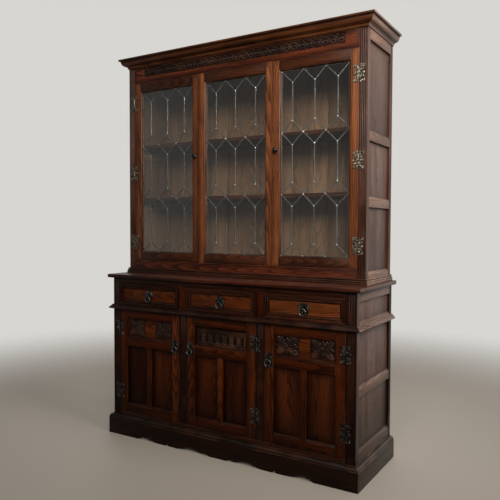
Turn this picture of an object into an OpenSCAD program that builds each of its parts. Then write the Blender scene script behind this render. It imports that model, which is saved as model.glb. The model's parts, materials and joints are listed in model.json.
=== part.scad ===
// Display cabinet in dark oak. A panelled base holds three drawers over three
// cupboards, and a glazed case above it has two leaded doors beside a fixed light.
// Millimetres. X runs to the right, Y to the back, Z up from the floor.

/* [Base cabinet] */
// Width across the corner posts
base_w = 1300; // [1150:10:1500]
// Depth from the face to the back edge
base_d = 426; // [410:2:480]
// Height from the floor to the underside of the counter
base_h = 790; // [760:5:860]
// Width of a base corner post
base_post_w = 45; // [40:1:60]
// Width of a mullion between two openings
mullion_w = 44; // [40:1:60]
// Height of the rail under the counter
top_rail_h = 26; // [20:1:34]
// Height of the drawer openings
drawer_open_h = 106; // [104:1:120]
// Height of the rail between the drawers and the cupboards
mid_rail_h = 30; // [28:1:40]
// Height of the bottom rail that shows above the plinth
sill_h = 16; // [10:1:24]

/* [Counter and mouldings] */
// Thickness of the counter top
counter_t = 18; // [14:1:26]
// Overhang of the counter at the front and sides
counter_over = 22; // [20:1:34]
// Height of the plinth with its moulded top
plinth_h = 100; // [90:1:110]
// Height of the moulded top of the plinth
plinth_mould_h = 18; // [12:1:20]
// Projection of the plinth from the case
plinth_over = 19; // [18:1:24]
// Rise of the arches in the plinth's lower edge
arch_rise = 21; // [10:1:30]
// Length of the plinth's feet at the two ends
end_foot = 168; // [140:2:200]
// Length of its foot in the middle
mid_foot = 80; // [50:2:120]
// Height of the waist moulding
waist_h = 22; // [20:1:24]
// Projection of the waist moulding
waist_over = 18; // [14:1:21]
// Height of the moulding at the foot of the display case
foot_mould_h = 27; // [22:1:34]
// Projection of that foot moulding
foot_mould_over = 11; // [8:1:16]
// Height of the cornice
cornice_h = 47; // [40:1:60]
// Projection of the cornice
cornice_over = 40; // [30:1:55]

/* [Display case] */
// Width across the display corner posts
disp_w = 1285; // [1150:5:1450]
// Depth of the display case
disp_d = 314; // [280:2:360]
// Height of the display case without its cornice
disp_h = 1045; // [1000:5:1100]
// Width of a display corner post
disp_post_w = 35.5; // [32:0.5:50]
// Height of the bottom rail, foot moulding included
disp_sill_h = 65; // [55:1:80]
// Height of the frieze board above the doors
frieze_h = 77; // [65:1:95]
// Width of the fixed light in the middle
light_w = 396; // [340:2:440]
// Height of the upper shelf above the bottom of the case
shelf_high = 661; // [600:1:700]
// Height of the lower shelf above the bottom of the case
shelf_low = 388; // [330:1:450]
// Thickness of a shelf
shelf_t = 18; // [14:1:24]
// Set-back of the display shelves behind the face
shelf_back = 46; // [40:1:80]
// Count of tongued boards in the back
back_boards = 13; // [9:1:17]

/* [Framing] */
// Thickness of rails, side frames and boards that frame the case
frame_t = 20; // [20:1:24]
// Depth of the corner posts and back stiles
post_t = 28; // [24:1:34]
// Thickness of a framed panel
panel_t = 8; // [6:0.5:8.5]
// Depth from the face of a frame to its panel
panel_recess = 10; // [8:0.5:10.5]
// Lap of a panel in its groove
panel_lap = 5; // [3:0.5:7]
// Bevel on the upper edge of a lower rail
chamfer = 9; // [5:0.5:12]
// Reeds on each corner post
reed_n = 4; // [3:1:5]
// Radius of a reed
reed_r = 3.8; // [2.5:0.1:3.9]

/* [Glazed sashes] */
// Thickness of a sash
sash_t = 19.5; // [19:0.1:19.5]
// Width of a glazed door stile
sash_stile = 44; // [38:1:54]
// Width of the fixed light's stiles
light_stile = 36; // [32:1:46]
// Height of a sash top rail
sash_top = 48; // [40:1:60]
// Height of a sash bottom rail
sash_bottom = 46; // [40:1:60]
// Width and depth of the moulded inner edge
sticking = 8; // [6:0.5:9]
// Thickness of the glass
glass_t = 3; // [2.5:0.5:4]
// Width of a lead came
came_w = 4; // [3:0.5:7]
// Rows of leaded lozenges
lead_rows = 3; // [2:1:4]
// Height of the crossed part of one lead pattern
lead_cross = 52; // [40:1:60]
// Height of the knobs above the bottom of the display case
knob_h = 576; // [500:2:650]

/* [Cupboard doors] */
// Thickness of a cupboard door
door_t = 19.5; // [19:0.1:19.5]
// Width of a cupboard door stile
door_stile = 43; // [40:1:54]
// Height of the top rail
door_top = 37; // [30:1:48]
// Height of the carved panel opening
crest_h = 90; // [70:1:110]
// Height of the rail between the panels
door_mid = 48; // [40:1:58]
// Height of the bottom rail
door_bottom = 47; // [40:1:60]
// Width of the upright between the lower panels
muntin_w = 28; // [24:1:36]
// Height of the cupboard shelves above the cupboard floor
cupboard_shelf = 250; // [200:5:320]

/* [Drawers] */
// Thickness of a drawer front
drawer_front_t = 19; // [16:0.5:20]
// Width of the mitred moulding round a drawer front
border_w = 25; // [22:1:27]
// Projection of that moulding
border_out = 9; // [7:0.5:10]
// Thickness of drawer sides and backs
drawer_side_t = 11; // [9:0.5:13]
// Height of the drawer sides
drawer_side_h = 88; // [70:1:90]
// Length of a drawer behind its front
drawer_len = 350; // [300:5:360]

/* [Ironwork] */
// Height of a hinge plate
hinge_h = 72; // [62:1:80]
// Width of one hinge leaf
hinge_leaf = 25; // [21:1:28]
// Distance of the lowest hinge from the foot of a glazed door
sash_hinge_inset = 95; // [60:1:140]
// Distance of the highest hinge from the top of a glazed door
sash_hinge_drop = 102; // [60:1:140]
// Distance of the lower hinge from the foot of a cupboard door
door_hinge_inset = 105; // [60:1:130]
// Distance of the upper hinge from the top of a cupboard door
door_hinge_drop = 87; // [60:1:120]
// Thickness of the hinge and handle plates
plate_t = 1.8; // [1.2:0.1:2.4]
// Radius of a hinge knuckle
knuckle_r = 3; // [2.6:0.1:3.4]
// Radius of hinge and handle pins
pin_r = 1.5; // [1.2:0.1:1.6]
// Radius of a pull ring to the middle of its bar
ring_r = 14.5; // [13:0.5:16]
// Radius of the ring's bar
ring_bar = 2.5; // [2:0.1:2.8]
// Width of a drawer handle plate
drawer_plate_w = 54; // [44:1:60]
// Space between that plate and the moulding above and below it
plate_space = 3; // [2:0.5:5]
// Width of a cupboard handle plate
door_plate_w = 40; // [34:1:40]
// Height of a cupboard handle plate above the ring's pivot
door_plate_up = 26; // [18:1:34]
// Height of that plate below the pivot
door_plate_down = 40; // [24:1:44]
// Height of the cupboard handle pivots above the doors' lower edge
pull_h = 368; // [300:2:400]
// Radius of the display door knobs
knob_r = 11; // [8:0.5:14]

/* [Fits] */
// Clearance round each door
door_gap = 1.2; // [0.8:0.1:2]
// Clearance round each drawer
drawer_gap = 1.2; // [0.8:0.1:2]
// Radial clearance of a pin in its bore
pin_fit = 0.05; // [0.02:0.01:0.1]
// Width of a glued joint line
joint = 0.15; // [0.1:0.05:0.3]
// Play between a sliding or resting piece and its seat
play = 0.3; // [0.2:0.05:0.5]

/* [Hidden] */
$fn = 48;

oak = [0.33, 0.16, 0.08];
oak_light = [0.44, 0.23, 0.11];
oak_dark = [0.22, 0.11, 0.06];
pine = [0.62, 0.46, 0.3];
lead = [0.55, 0.56, 0.55];
antique = [0.36, 0.33, 0.27];
pane = [0.75, 0.82, 0.8, 0.35];

// Planes of the two cases
back_y = (base_d + counter_over) / 2;
face_y = back_y - base_d;
show_y = back_y - disp_d;
counter_z = base_h + counter_t;
disp_top = counter_z + disp_h;

// Openings of the base
base_half = base_w / 2;
post_in = base_half - base_post_w;
bay_w = (2 * post_in - 2 * mullion_w) / 3;
bay_x = [-(bay_w + mullion_w), 0, bay_w + mullion_w];
drawer_z1 = base_h - top_rail_h;
drawer_z0 = drawer_z1 - drawer_open_h;
door_z1 = drawer_z0 - mid_rail_h;
door_z0 = plinth_h + sill_h;
waist_z = drawer_z0 - 2 - waist_h;
rail_foot = plinth_h - 40;

// Turns of the plinth's lower edge between its middle foot and an end foot, as shares
// of the length between them, and the small lift of the edge off the floor
arch_turn = [0.08, 0.11, 0.24, 0.45, 0.545, 0.57, 0.595, 0.69, 0.895];
arch_lift = 0.6;

// Boards inside the base
board_t = 16;
dust_t = 12;
back_panel_t = 6;
floor_z = door_z0 - 1;
dust_z = door_z1 + 6;
shelf_board_z = floor_z + cupboard_shelf;
base_in = base_half - frame_t;
board_front = face_y + frame_t + joint;
board_back = back_y - back_panel_t - joint;
partition_x = (bay_w + mullion_w) / 2;
bay_wall = [[-base_in, -partition_x - board_t / 2],
    [-partition_x + board_t / 2, partition_x - board_t / 2],
    [partition_x + board_t / 2, base_in]];
batten = 14;

// Side frames, each rail given as its lower and upper height
side_front = face_y + post_t;
side_back = back_y - post_t;
side_waist = [waist_z - 9, waist_z + waist_h + 13];
side_sill = plinth_h + 50;
side_mid_h = 42;
side_mid = (side_waist[0] + side_sill - side_mid_h) / 2;
base_rails = [[rail_foot, side_sill], [side_mid, side_mid + side_mid_h], side_waist,
    [base_h - 40, base_h]];

// Display case
disp_half = disp_w / 2;
disp_in = disp_half - disp_post_w;
disp_wall = disp_half - frame_t;
disp_sill = counter_z + disp_sill_h;
disp_side_front = show_y + post_t;
frieze_z = disp_top - frieze_h;
back_board_t = 9;
disp_board_back = back_y - back_board_t - joint;
case_board_t = 15;
cornice_bed = 12;
shelf_z = [counter_z + shelf_low - shelf_t, counter_z + shelf_high - shelf_t];
disp_rail_h = 44;
rail_under = 5;
disp_rails = [[counter_z, disp_sill - 12],
    [shelf_z[0] - rail_under - disp_rail_h, shelf_z[0] - rail_under],
    [shelf_z[1] - rail_under - disp_rail_h, shelf_z[1] - rail_under],
    [disp_top - 42, disp_top]];

// Glazing
light_x = light_w / 2;
sash_z0 = disp_sill + door_gap;
sash_z1 = frieze_z - door_gap;
sight_z0 = sash_z0 + sash_bottom;
sight_z1 = sash_z1 - sash_top;
rebate_y = sticking + 3;
solder_r = 0.8 * came_w;
came_heart = 1.4;
glaze_lap = 5;
glaze_y = show_y + rebate_y;
flange_t = 1;
lead_t = glass_t + 2 * flange_t;

// Cupboard doors
door_w = bay_w - 2 * door_gap;
door_foot = door_z0 + door_gap;
door_head = door_z1 - door_gap;
crest_z1 = door_head - door_top;
crest_z0 = crest_z1 - crest_h;
lower_z1 = crest_z0 - door_mid;
lower_z0 = door_foot + door_bottom;
bevel_in = min(chamfer, panel_recess - 1);

// Drawers
front_z0 = drawer_z0 + drawer_gap;
front_z1 = drawer_z1 - drawer_gap;
box_z0 = drawer_z0 + play;
box_z1 = box_z0 + drawer_side_h;
box_front = face_y + drawer_front_t;
box_back = box_front + drawer_len;
bottom_t = 5.5;
bottom_z = box_z0 + 6;
bottom_lap = 4;
stop_d = 14;

// Ironwork
axis_out = knuckle_r + play;
knuckle_z = 7.7;
barrel_z = 20;
pull_out = border_out + ring_bar + 0.5;
ear_r = pin_r + 1.3;
ear_x = 5.5;
ear_t = 2.6;
ring_drop = ring_r + ring_bar + 2.2;
field_z = [front_z0 + border_w, front_z1 - border_w];
drawer_pull_z = (field_z[0] + field_z[1]) / 2 + ring_bar;
door_pull_z = door_foot + pull_h;
sash_hinge = [sash_z0 + sash_hinge_inset, sash_z1 - sash_hinge_drop];
hinge_at = [[sash_hinge[0], (sash_hinge[0] + sash_hinge[1]) / 2, sash_hinge[1]],
    [door_foot + door_hinge_inset, door_head - door_hinge_drop]];
sash_axis_x = disp_in - door_gap / 2;

module block(a, b) {
    translate(a) cube(b - a);
}

// Upright bar whose children draw its plan
module upright(z0, z1) {
    translate([0, 0, z0]) linear_extrude(z1 - z0) children();
}

// Bar along X whose children draw its section, y across and z up
module along_x(x0, x1) {
    translate([x0, 0, 0]) rotate([90, 0, 90]) linear_extrude(x1 - x0) children();
}

// Bar along Y whose children draw its section, x across and z up
module along_y(y0, y1) {
    translate([0, y1, 0]) rotate([90, 0, 0]) linear_extrude(y1 - y0) children();
}

module both_sides() {
    children();
    mirror([1, 0, 0]) children();
}

function arc(c, rx, ry, a0, a1, n) =
    [for (i = [0 : n]) let (a = a0 + (a1 - a0) * i / n) [c[0] + rx * cos(a), c[1] + ry * sin(a)]];

// Mitred moulding round the front and both sides of a case. The children draw its
// section, x outwards from the case and y up from z. Its bed reaches over the case.
module wrap(half, front, z, tall, over, bed) {
    reach = over + 1;
    top = z + tall + 1;
    intersection() {
        along_x(-half - reach, half + reach)
            translate([front, z]) mirror([1, 0]) children();
        upright(z - 1, top)
            polygon([[-half - reach + joint, front - reach], [half + reach - joint, front - reach],
                [half - bed - joint, front + bed], [-half + bed + joint, front + bed]]);
    }
    both_sides() intersection() {
        along_y(front - reach, back_y) translate([half, z]) children();
        upright(z - 1, top)
            polygon([[half - bed, front + bed], [half + reach, front - reach],
                [half + reach, back_y], [half - bed, back_y]]);
    }
}

// Plan of a reeded post, its left edge at x = 0 and the reed tops at y = 0
module reeded_plan(w, t) {
    margin = (w - 2 * reed_n * reed_r) / 2;
    root = 0.75 * reed_r;
    translate([0, root]) square([w, t - root]);
    square([margin, root + 1]);
    translate([w - margin, 0]) square([margin, root + 1]);
    for (i = [0 : reed_n - 1])
        translate([margin + (2 * i + 1) * reed_r, reed_r]) circle(reed_r, $fn = 32);
}

// Plinth

module plinth_section() {
    step = plinth_h - plinth_mould_h;
    r = plinth_mould_h - 6;
    polygon(concat([[0, 0], [plinth_over, 0], [plinth_over, step], [plinth_over - 2, step + 1]],
        arc([plinth_over - 2 - r, step + 2], r, r, 0, 90, 8),
        [[3, step + 2 + r], [3, plinth_h], [0, plinth_h]]));
}

// Eased rise or fall between two points of the plinth's lower edge
function ease(a, b, n) =
    [for (i = [0 : n]) [a[0] + (b[0] - a[0]) * i / n,
        a[1] + (b[1] - a[1]) * (1 - cos(180 * i / n)) / 2]];

// Half of the shaped lower edge, from the middle foot to the end foot
module arch_cut() {
    x0 = mid_foot / 2;
    x1 = base_half - end_foot;
    t = [for (share = arch_turn) x0 + share * (x1 - x0)];
    nick = arch_rise / 2;
    low = arch_lift;
    polygon(concat([[x1, -1], [x0, -1]],
        ease([x0, 0], [t[0], nick], 5), ease([t[1], nick * 0.8], [t[2], arch_rise], 6),
        ease([t[2], arch_rise], [t[3], low], 8), ease([t[4], low], [t[5], nick], 4),
        ease([t[5], nick], [t[6], low], 4), ease([t[7], low], [t[8], arch_rise], 8),
        ease([t[8], arch_rise], [x1, 0], 6)));
}

module plinth() {
    color(oak) difference() {
        wrap(base_half + joint, face_y - joint, 0, plinth_h, plinth_over, 0)
            plinth_section();
        along_y(face_y - plinth_over - 2, face_y) {
            arch_cut();
            mirror([1, 0]) arch_cut();
        }
    }
}

// Base framing

// Panels of one side, which grow by their play to cut their own grooves
module side_panel_set(half, front, rails, grow) {
    x0 = half - panel_recess - panel_t;
    for (i = [0 : len(rails) - 2])
        block([x0 - grow, front - panel_lap - grow, rails[i][1] - panel_lap - grow],
            [x0 + panel_t + grow, side_back + panel_lap + grow,
                rails[i + 1][0] + panel_lap + grow]);
}

module corner_post(half, front, w, z0, z1, rails) {
    difference() {
        upright(z0, z1) translate([half - w, front]) reeded_plan(w, post_t);
        side_panel_set(half, front + post_t, rails, play / 2);
    }
}

module base_corner_posts() {
    color(oak_dark) both_sides()
        corner_post(base_half, face_y, base_post_w, 0, base_h, base_rails);
}

module base_mullions() {
    color(oak_dark) for (s = [-1, 1]) translate([s * partition_x - mullion_w / 2, 0, 0]) {
        upright(door_z0 + joint, door_z1 - joint)
            translate([0, face_y]) reeded_plan(mullion_w, frame_t);
        block([0, face_y, drawer_z0 + joint], [mullion_w, face_y + frame_t, drawer_z1 - joint]);
    }
}

module base_face_rails() {
    x = post_in - joint;
    color(oak) {
        block([-x, face_y, drawer_z1], [x, face_y + frame_t, base_h]);
        block([-x, face_y, door_z1], [x, face_y + frame_t, drawer_z0]);
        block([-x, face_y, rail_foot], [x, face_y + frame_t, door_z0]);
    }
}

// Frame of one side: a back stile and rails, bevelled where a rail is under a panel
module side_frame(half, front, rails, z0, z1) {
    difference() {
        union() {
            block([half - frame_t, side_back, z0], [half, back_y, z1]);
            for (i = [0 : len(rails) - 1])
                let (drop = i < len(rails) - 1 ? chamfer : 0, inset = min(drop, bevel_in))
                    along_y(front + joint, side_back - joint)
                        polygon([[half - frame_t, rails[i][0]], [half, rails[i][0]],
                            [half, rails[i][1] - drop], [half - inset, rails[i][1]],
                            [half - frame_t, rails[i][1]]]);
        }
        side_panel_set(half, front, rails, play / 2);
    }
}

module base_side_frames() {
    color(oak) both_sides() side_frame(base_half, side_front, base_rails, 0, base_h);
}

module base_side_panels() {
    color(oak_light) both_sides() side_panel_set(base_half, side_front, base_rails, 0);
}

module base_back_panel() {
    color(pine) block([-base_in + joint, back_y - back_panel_t, rail_foot],
        [base_in - joint, back_y, base_h - joint]);
}

// Room that the base corner posts take from the boards between the sides
module base_post_room() {
    both_sides() block([post_in - joint, face_y - 1, -1],
        [base_half, side_front + joint, base_h + 1]);
}

module base_case_boards() {
    color(oak_dark) difference() {
        union() {
            block([-base_in + joint, board_front, floor_z - board_t],
                [base_in - joint, board_back, floor_z]);
            for (s = [-1, 1])
                block([s * partition_x - board_t / 2, board_front, floor_z + joint],
                    [s * partition_x + board_t / 2, board_back, base_h - joint]);
            for (wall = bay_wall)
                block([wall[0] + joint, board_front, dust_z],
                    [wall[1] - joint, board_back, dust_z + dust_t]);
        }
        base_post_room();
    }
}

// Runner, side guide and kicker at each side of each drawer
module drawer_runners() {
    hold = drawer_side_t + 4;
    y1 = board_back - 4;
    color(pine) difference() {
        for (b = [0 : 2]) {
            edge = [bay_x[b] - bay_w / 2, bay_x[b] + bay_w / 2];
            wall = [bay_wall[b][0] + joint, bay_wall[b][1] - joint];
            block([wall[0], board_front, dust_z + dust_t + joint],
                [edge[0] + hold, y1, drawer_z0]);
            block([edge[1] - hold, board_front, dust_z + dust_t + joint],
                [wall[1], y1, drawer_z0]);
            block([wall[0], board_front, drawer_z0 + joint], [edge[0], y1, drawer_z0 + 26]);
            block([edge[1], board_front, drawer_z0 + joint], [wall[1], y1, drawer_z0 + 26]);
            block([wall[0], board_front, box_z1 + 1], [edge[0] + hold, y1, box_z1 + 19]);
            block([edge[1] - hold, board_front, box_z1 + 1], [wall[1], y1, box_z1 + 19]);
        }
        base_post_room();
    }
}

module cupboard_shelves() {
    color(oak) for (wall = bay_wall)
        block([wall[0] + joint, board_front + 40, shelf_board_z],
            [wall[1] - joint, board_back - 2, shelf_board_z + board_t]);
}

// Battens under the cupboard shelves, and the blocks that the closed doors and drawers
// meet. A drawer's blocks lap over the rail and stand behind the foot of its front.
module base_battens_and_stops() {
    z = shelf_board_z - joint;
    y = box_front + play;
    color(pine) {
        for (wall = bay_wall) {
            block([wall[0] + joint, board_front + 50, z - batten],
                [wall[0] + batten, board_back - 10, z]);
            block([wall[1] - batten, board_front + 50, z - batten],
                [wall[1] - joint, board_back - 10, z]);
        }
        for (x = bay_x) translate([x, 0, 0]) {
            block([-20, board_front, door_z1 - 12], [20, board_front + 12, dust_z - joint]);
            for (side = [-1, 1]) translate([side * 80, 0, 0]) {
                block([-15, y, drawer_z0 + joint], [15, y + stop_d, bottom_z - 1]);
                block([-15, max(y, board_front), dust_z + dust_t + joint],
                    [15, y + stop_d, bottom_z - 1]);
            }
        }
    }
}

// Three reeds that step outwards as they go down
module waist_section() {
    k = waist_over / 18;
    square([3 * k, waist_h]);
    square([8 * k, waist_h - 6]);
    square([13 * k, waist_h / 3]);
    translate([3 * k, waist_h - 4]) circle(4);
    translate([7.8 * k, waist_h / 2]) circle(4.6);
    translate([waist_over - 5.2, 5.2]) circle(5.2);
}

module waist_moulding() {
    color(oak) wrap(base_half + joint, face_y - joint, waist_z, waist_h, waist_over, 0)
        waist_section();
}

// Edge of the counter, x outwards and y up
function counter_edge(over) = concat([[over - 5, 0]],
    arc([over - 5, 4], 4, 4, -90, 0, 5), [[over, 4.6]],
    arc([over - 5, counter_t - 5], 5, 5, 0, 90, 6));

module counter_top() {
    x = base_half + counter_over;
    edge = counter_edge(counter_over);
    color(oak) intersection() {
        along_x(-x - 1, x + 1) polygon(concat([[back_y, base_h]],
            [for (p = edge) [face_y - p[0], base_h + p[1]]], [[back_y, counter_z]]));
        along_y(face_y - counter_over - 1, back_y) polygon(concat(
            [for (p = edge) [base_half + p[0], base_h + p[1]]],
            [for (i = [len(edge) - 1 : -1 : 0]) [-base_half - edge[i][0], base_h + edge[i][1]]]));
    }
}

// Display case

module foot_section() {
    k = foot_mould_over / 11;
    h = foot_mould_h;
    square([3 * k, h]);
    square([6 * k, 0.6 * h]);
    polygon([[0, 0], [11 * k, 0], [11 * k, 0.3 * h], [9 * k, 0.38 * h], [0, 0.38 * h]]);
    translate([3 * k, h - 4]) circle(4);
    translate([5.4 * k, 0.52 * h]) circle(4.4);
}

module display_foot_moulding() {
    color(oak) wrap(disp_half + joint, show_y - joint, counter_z, foot_mould_h,
        foot_mould_over, 0) foot_section();
}

module display_corner_posts() {
    color(oak) both_sides() corner_post(disp_half, show_y, disp_post_w, counter_z, disp_top,
        disp_rails);
}

// Frieze board with its sunk ground for carving, and the rail under the doors
module display_face_rails() {
    x = disp_in - joint;
    ground = [x - 62, frieze_h - 32];
    color(oak) {
        difference() {
            block([-x, show_y, frieze_z], [x, show_y + frame_t, disp_top]);
            block([-ground[0], show_y - 1, disp_top - 5 - ground[1]],
                [ground[0], show_y + 3, disp_top - 5]);
        }
        block([-x, show_y, counter_z], [x, show_y + frame_t, disp_sill]);
    }
}

module display_side_frames() {
    color(oak) both_sides()
        side_frame(disp_half, disp_side_front, disp_rails, counter_z, disp_top);
}

module display_side_panels() {
    color(oak_light) both_sides() side_panel_set(disp_half, disp_side_front, disp_rails, 0);
}

// Upright boards with a V at each joint, tongued into each other
module display_back_boards() {
    full = 2 * (disp_wall - joint);
    w = full / back_boards;
    y = back_y - back_board_t;
    v = 2;
    color(oak_light) for (i = [0 : back_boards - 1]) {
        a = -full / 2 + i * w;
        b = a + w - joint;
        last = i == back_boards - 1;
        upright(counter_z, disp_top) difference() {
            union() {
                polygon([[a, y + v], [a + v, y], [b - v, y], [b, y + v], [b, back_y],
                    [a, back_y]]);
                if (!last) translate([b - 1, y + 3.4]) square([4, 2.6]);
            }
            if (i > 0) translate([a - 1, y + 3.1]) square([5, 3.2]);
        }
    }
}

// Floor and top of the display case
module display_case_boards() {
    x = disp_wall - joint;
    color(oak_dark) {
        difference() {
            block([-x, show_y + frame_t + joint, disp_sill - 5 - case_board_t],
                [x, disp_board_back, disp_sill - 5]);
            both_sides() block([disp_in - joint, show_y, counter_z],
                [disp_half, disp_side_front + joint, disp_top]);
        }
        block([-disp_half + cornice_bed + joint, show_y + cornice_bed + joint, disp_top + joint],
            [disp_half - cornice_bed - joint, back_y, disp_top + case_board_t]);
    }
}

// Shelves with a thumb moulding along the front
module display_shelves() {
    y = show_y + shelf_back;
    x = disp_wall - play;
    color(oak) for (z = shelf_z) along_x(-x, x)
        polygon(concat([[disp_board_back - play, z], [y + 3, z], [y, z + 3], [y, z + 7],
            [y + 2, z + 8]], arc([y + 11, z + 8], 9, shelf_t - 8, 180, 90, 6),
            [[disp_board_back - play, z + shelf_t]]));
}

module cornice_section() {
    u = cornice_over / 40;
    v = cornice_h / 47;
    shape = concat([[4, 0], [4, 3]], arc([14, 4], 9, 9, 180, 90, 6), [[15.5, 13], [15.5, 15]],
        arc([16, 37], 15, 22, -90, 0, 9), [[33, 37], [33, 38.5]],
        arc([38, 40.5], 2, 2, -90, 0, 4), [[40, 47]]);
    polygon(concat([[-cornice_bed, 0]], [for (p = shape) [p[0] * u, p[1] * v]],
        [[-cornice_bed, cornice_h]]));
}

module cornice() {
    color(oak) wrap(disp_half, show_y, disp_top, cornice_h, cornice_over, cornice_bed)
        cornice_section();
}

// Glazed sashes

// Section of a moulded sash member, from its outer edge to its inner edge at w
module sash_section(w) {
    m = sticking;
    polygon(concat([[0, 0]], arc([w - m, m], m - 1.5, m - 1.5, -90, 0, 6),
        [[w, m], [w, rebate_y], [w - glaze_lap - play, rebate_y],
            [w - glaze_lap - play, sash_t], [0, sash_t]]));
}

// Upright stile of a sash with mitred moulding, low and high rails let into it
module sash_stile_piece(w, tall, low, high) {
    m = sticking;
    intersection() {
        upright(0, tall) sash_section(w);
        along_y(-1, sash_t + 1) polygon([[0, 0], [w - m, 0], [w - m, low - m], [w, low],
            [w, tall - high], [w - m, tall - high + m], [w - m, tall], [0, tall]]);
    }
}

// Rail of a sash, drawn upright like a stile, between stiles a and b wide
module sash_rail_piece(w, span, a, b) {
    m = sticking;
    intersection() {
        upright(0, span) sash_section(w);
        along_y(-1, sash_t + 1) polygon([[0, a - m + joint], [w - m, a - m + joint],
            [w, a + joint], [w, span - b - joint], [w - m, span - b + m - joint],
            [0, span - b + m - joint]]);
    }
}

// Glazing bead behind the glass, mitred at both ends
module sash_bead(w, span, a, b) {
    g = glaze_lap;
    along_y(rebate_y + lead_t + joint, sash_t)
        polygon([[w - g, a - g + joint], [w, a + joint], [w, span - b - joint],
            [w - g, span - b + g - joint]]);
}

// Four moulded pieces round a sight opening, and their four beads. The sash fills
// the space from x0 to x1 and from z0 to z1.
module sash(x0, x1, z0, z1, stile) {
    tall = z1 - z0;
    wide = x1 - x0;
    low = sight_z0 - z0;
    high = z1 - sight_z1;
    color(oak_light) translate([0, show_y, 0]) {
        for (s = [0, 1]) translate([s == 0 ? x0 : x1, 0, z0]) mirror([s, 0, 0]) {
            sash_stile_piece(stile, tall, low, high);
            sash_bead(stile, tall, low, high);
        }
        translate([x0, 0, z0]) mirror([0, 0, 1]) rotate([0, 90, 0]) {
            sash_rail_piece(low, wide, stile, stile);
            sash_bead(low, wide, stile, stile);
        }
        translate([x0, 0, z1]) rotate([0, 90, 0]) {
            sash_rail_piece(high, wide, stile, stile);
            sash_bead(high, wide, stile, stile);
        }
    }
}

// Sight opening of a sash as [x0, x1, z0, z1]
function sight(x0, x1, stile) = [x0 + stile, x1 - stile, sight_z0, sight_z1];

module rect(o, grow) {
    translate([o[0] - grow, o[2] - grow])
        square([o[1] - o[0] + 2 * grow, o[3] - o[2] + 2 * grow]);
}

module strip(a, b, w) {
    d = b - a;
    translate(a) rotate(atan2(d[1], d[0])) translate([0, -w / 2]) square([norm(d), w]);
}

// Centre lines of the lead: in each row three uprights that fork at both ends
function lead_lines(o) =
    let (step = (o[1] - o[0]) / 6, row = (o[3] - o[2]) / lead_rows)
    [for (r = [0 : lead_rows - 1], i = [1, 3, 5])
        let (x = o[0] + i * step, top = o[3] - r * row,
            a = [x, top - lead_cross], b = [x, top - row + lead_cross])
        each [[a, b], [a, [x - step, top]], [a, [x + step, top]],
            [b, [x - step, top - row]], [b, [x + step, top - row]]]];

module lead_net(o, w) {
    for (l = lead_lines(o)) strip(l[0], l[1], w);
}

// Outer faces of the cames, with a solder joint at each crossing
module lead_face(o) {
    difference() {
        rect(o, glaze_lap);
        rect(o, -came_w / 2);
    }
    lead_net(o, came_w);
    for (l = lead_lines(o)) translate(l[0]) circle(solder_r, $fn = 24);
}

module leading(o) {
    back = glaze_y + lead_t;
    color(lead) {
        along_y(glaze_y, glaze_y + flange_t - 0.05) lead_face(o);
        along_y(back - flange_t + 0.05, back) lead_face(o);
        along_y(glaze_y + flange_t - 0.1, back - flange_t + 0.1) {
            difference() {
                rect(o, glaze_lap);
                rect(o, glaze_lap - 1.2);
            }
            intersection() {
                rect(o, glaze_lap - 0.5);
                lead_net(o, came_heart);
            }
        }
    }
}

// Cut panes between the hearts of the cames
module quarries(o) {
    color(pane) along_y(glaze_y + flange_t, glaze_y + flange_t + glass_t) difference() {
        rect(o, glaze_lap - 1.4);
        lead_net(o, came_heart + 0.4);
        for (s = [0, 1], r = [1 : lead_rows - 1])
            translate([o[s] - (s == 0 ? glaze_lap : 0),
                o[2] + r * (o[3] - o[2]) / lead_rows - 0.9]) square([glaze_lap, 1.8]);
    }
}

door_x = [light_x + door_gap, disp_in - door_gap];
right_sight = sight(door_x[0], door_x[1], sash_stile);
left_sight = sight(-door_x[1], -door_x[0], sash_stile);
light_sight = sight(-light_x, light_x, light_stile);

module fixed_light_frame()
    sash(-light_x, light_x, disp_sill + joint, frieze_z - joint, light_stile);
module fixed_light_glass() quarries(light_sight);
module fixed_light_leading() leading(light_sight);
module glazed_door_left_frame() sash(-door_x[1], -door_x[0], sash_z0, sash_z1, sash_stile);
module glazed_door_left_glass() quarries(left_sight);
module glazed_door_left_leading() leading(left_sight);
module glazed_door_right_frame() sash(door_x[0], door_x[1], sash_z0, sash_z1, sash_stile);
module glazed_door_right_glass() quarries(right_sight);
module glazed_door_right_leading() leading(right_sight);

module knob(side) {
    translate([side * (door_x[0] + sash_stile / 2), show_y, counter_z + knob_h])
        rotate([90, 0, 0]) color(antique) rotate_extrude()
            polygon(concat([[0, 0], [knob_r * 0.8, 0], [knob_r * 0.8, 1.6], [knob_r * 0.45, 3.2],
                [knob_r * 0.4, 8]], arc([0, 13], knob_r, 6.5, -52, 90, 10)));
}

module glazed_door_left_knob() knob(-1);
module glazed_door_right_knob() knob(1);

// Hinges

// Outline of a leaf, x outwards from the pin and y up
module leaf_outline() {
    end = hinge_h / 2;
    lobe = 6.5;
    far = hinge_leaf - lobe;
    difference() {
        union() {
            translate([knuckle_r + 0.4, -end]) square([5, 2 * end]);
            for (s = [-1, 1]) {
                translate([far, s * (end - lobe)]) circle(lobe, $fn = 24);
                translate([knuckle_r + 1, s * (end - lobe) - 4]) square([far - knuckle_r, 8]);
                translate([knuckle_r + 5.4, s * 12]) circle(4.4, $fn = 24);
            }
            translate([far - 2, 0]) circle(6, $fn = 24);
            translate([knuckle_r + 1, -3]) square([far - knuckle_r - 2, 6]);
        }
        for (s = [-1, 1]) translate([far, s * (end - lobe)]) circle(1.9, $fn = 24);
        translate([far - 2, 0]) circle(1.9, $fn = 24);
    }
}

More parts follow.
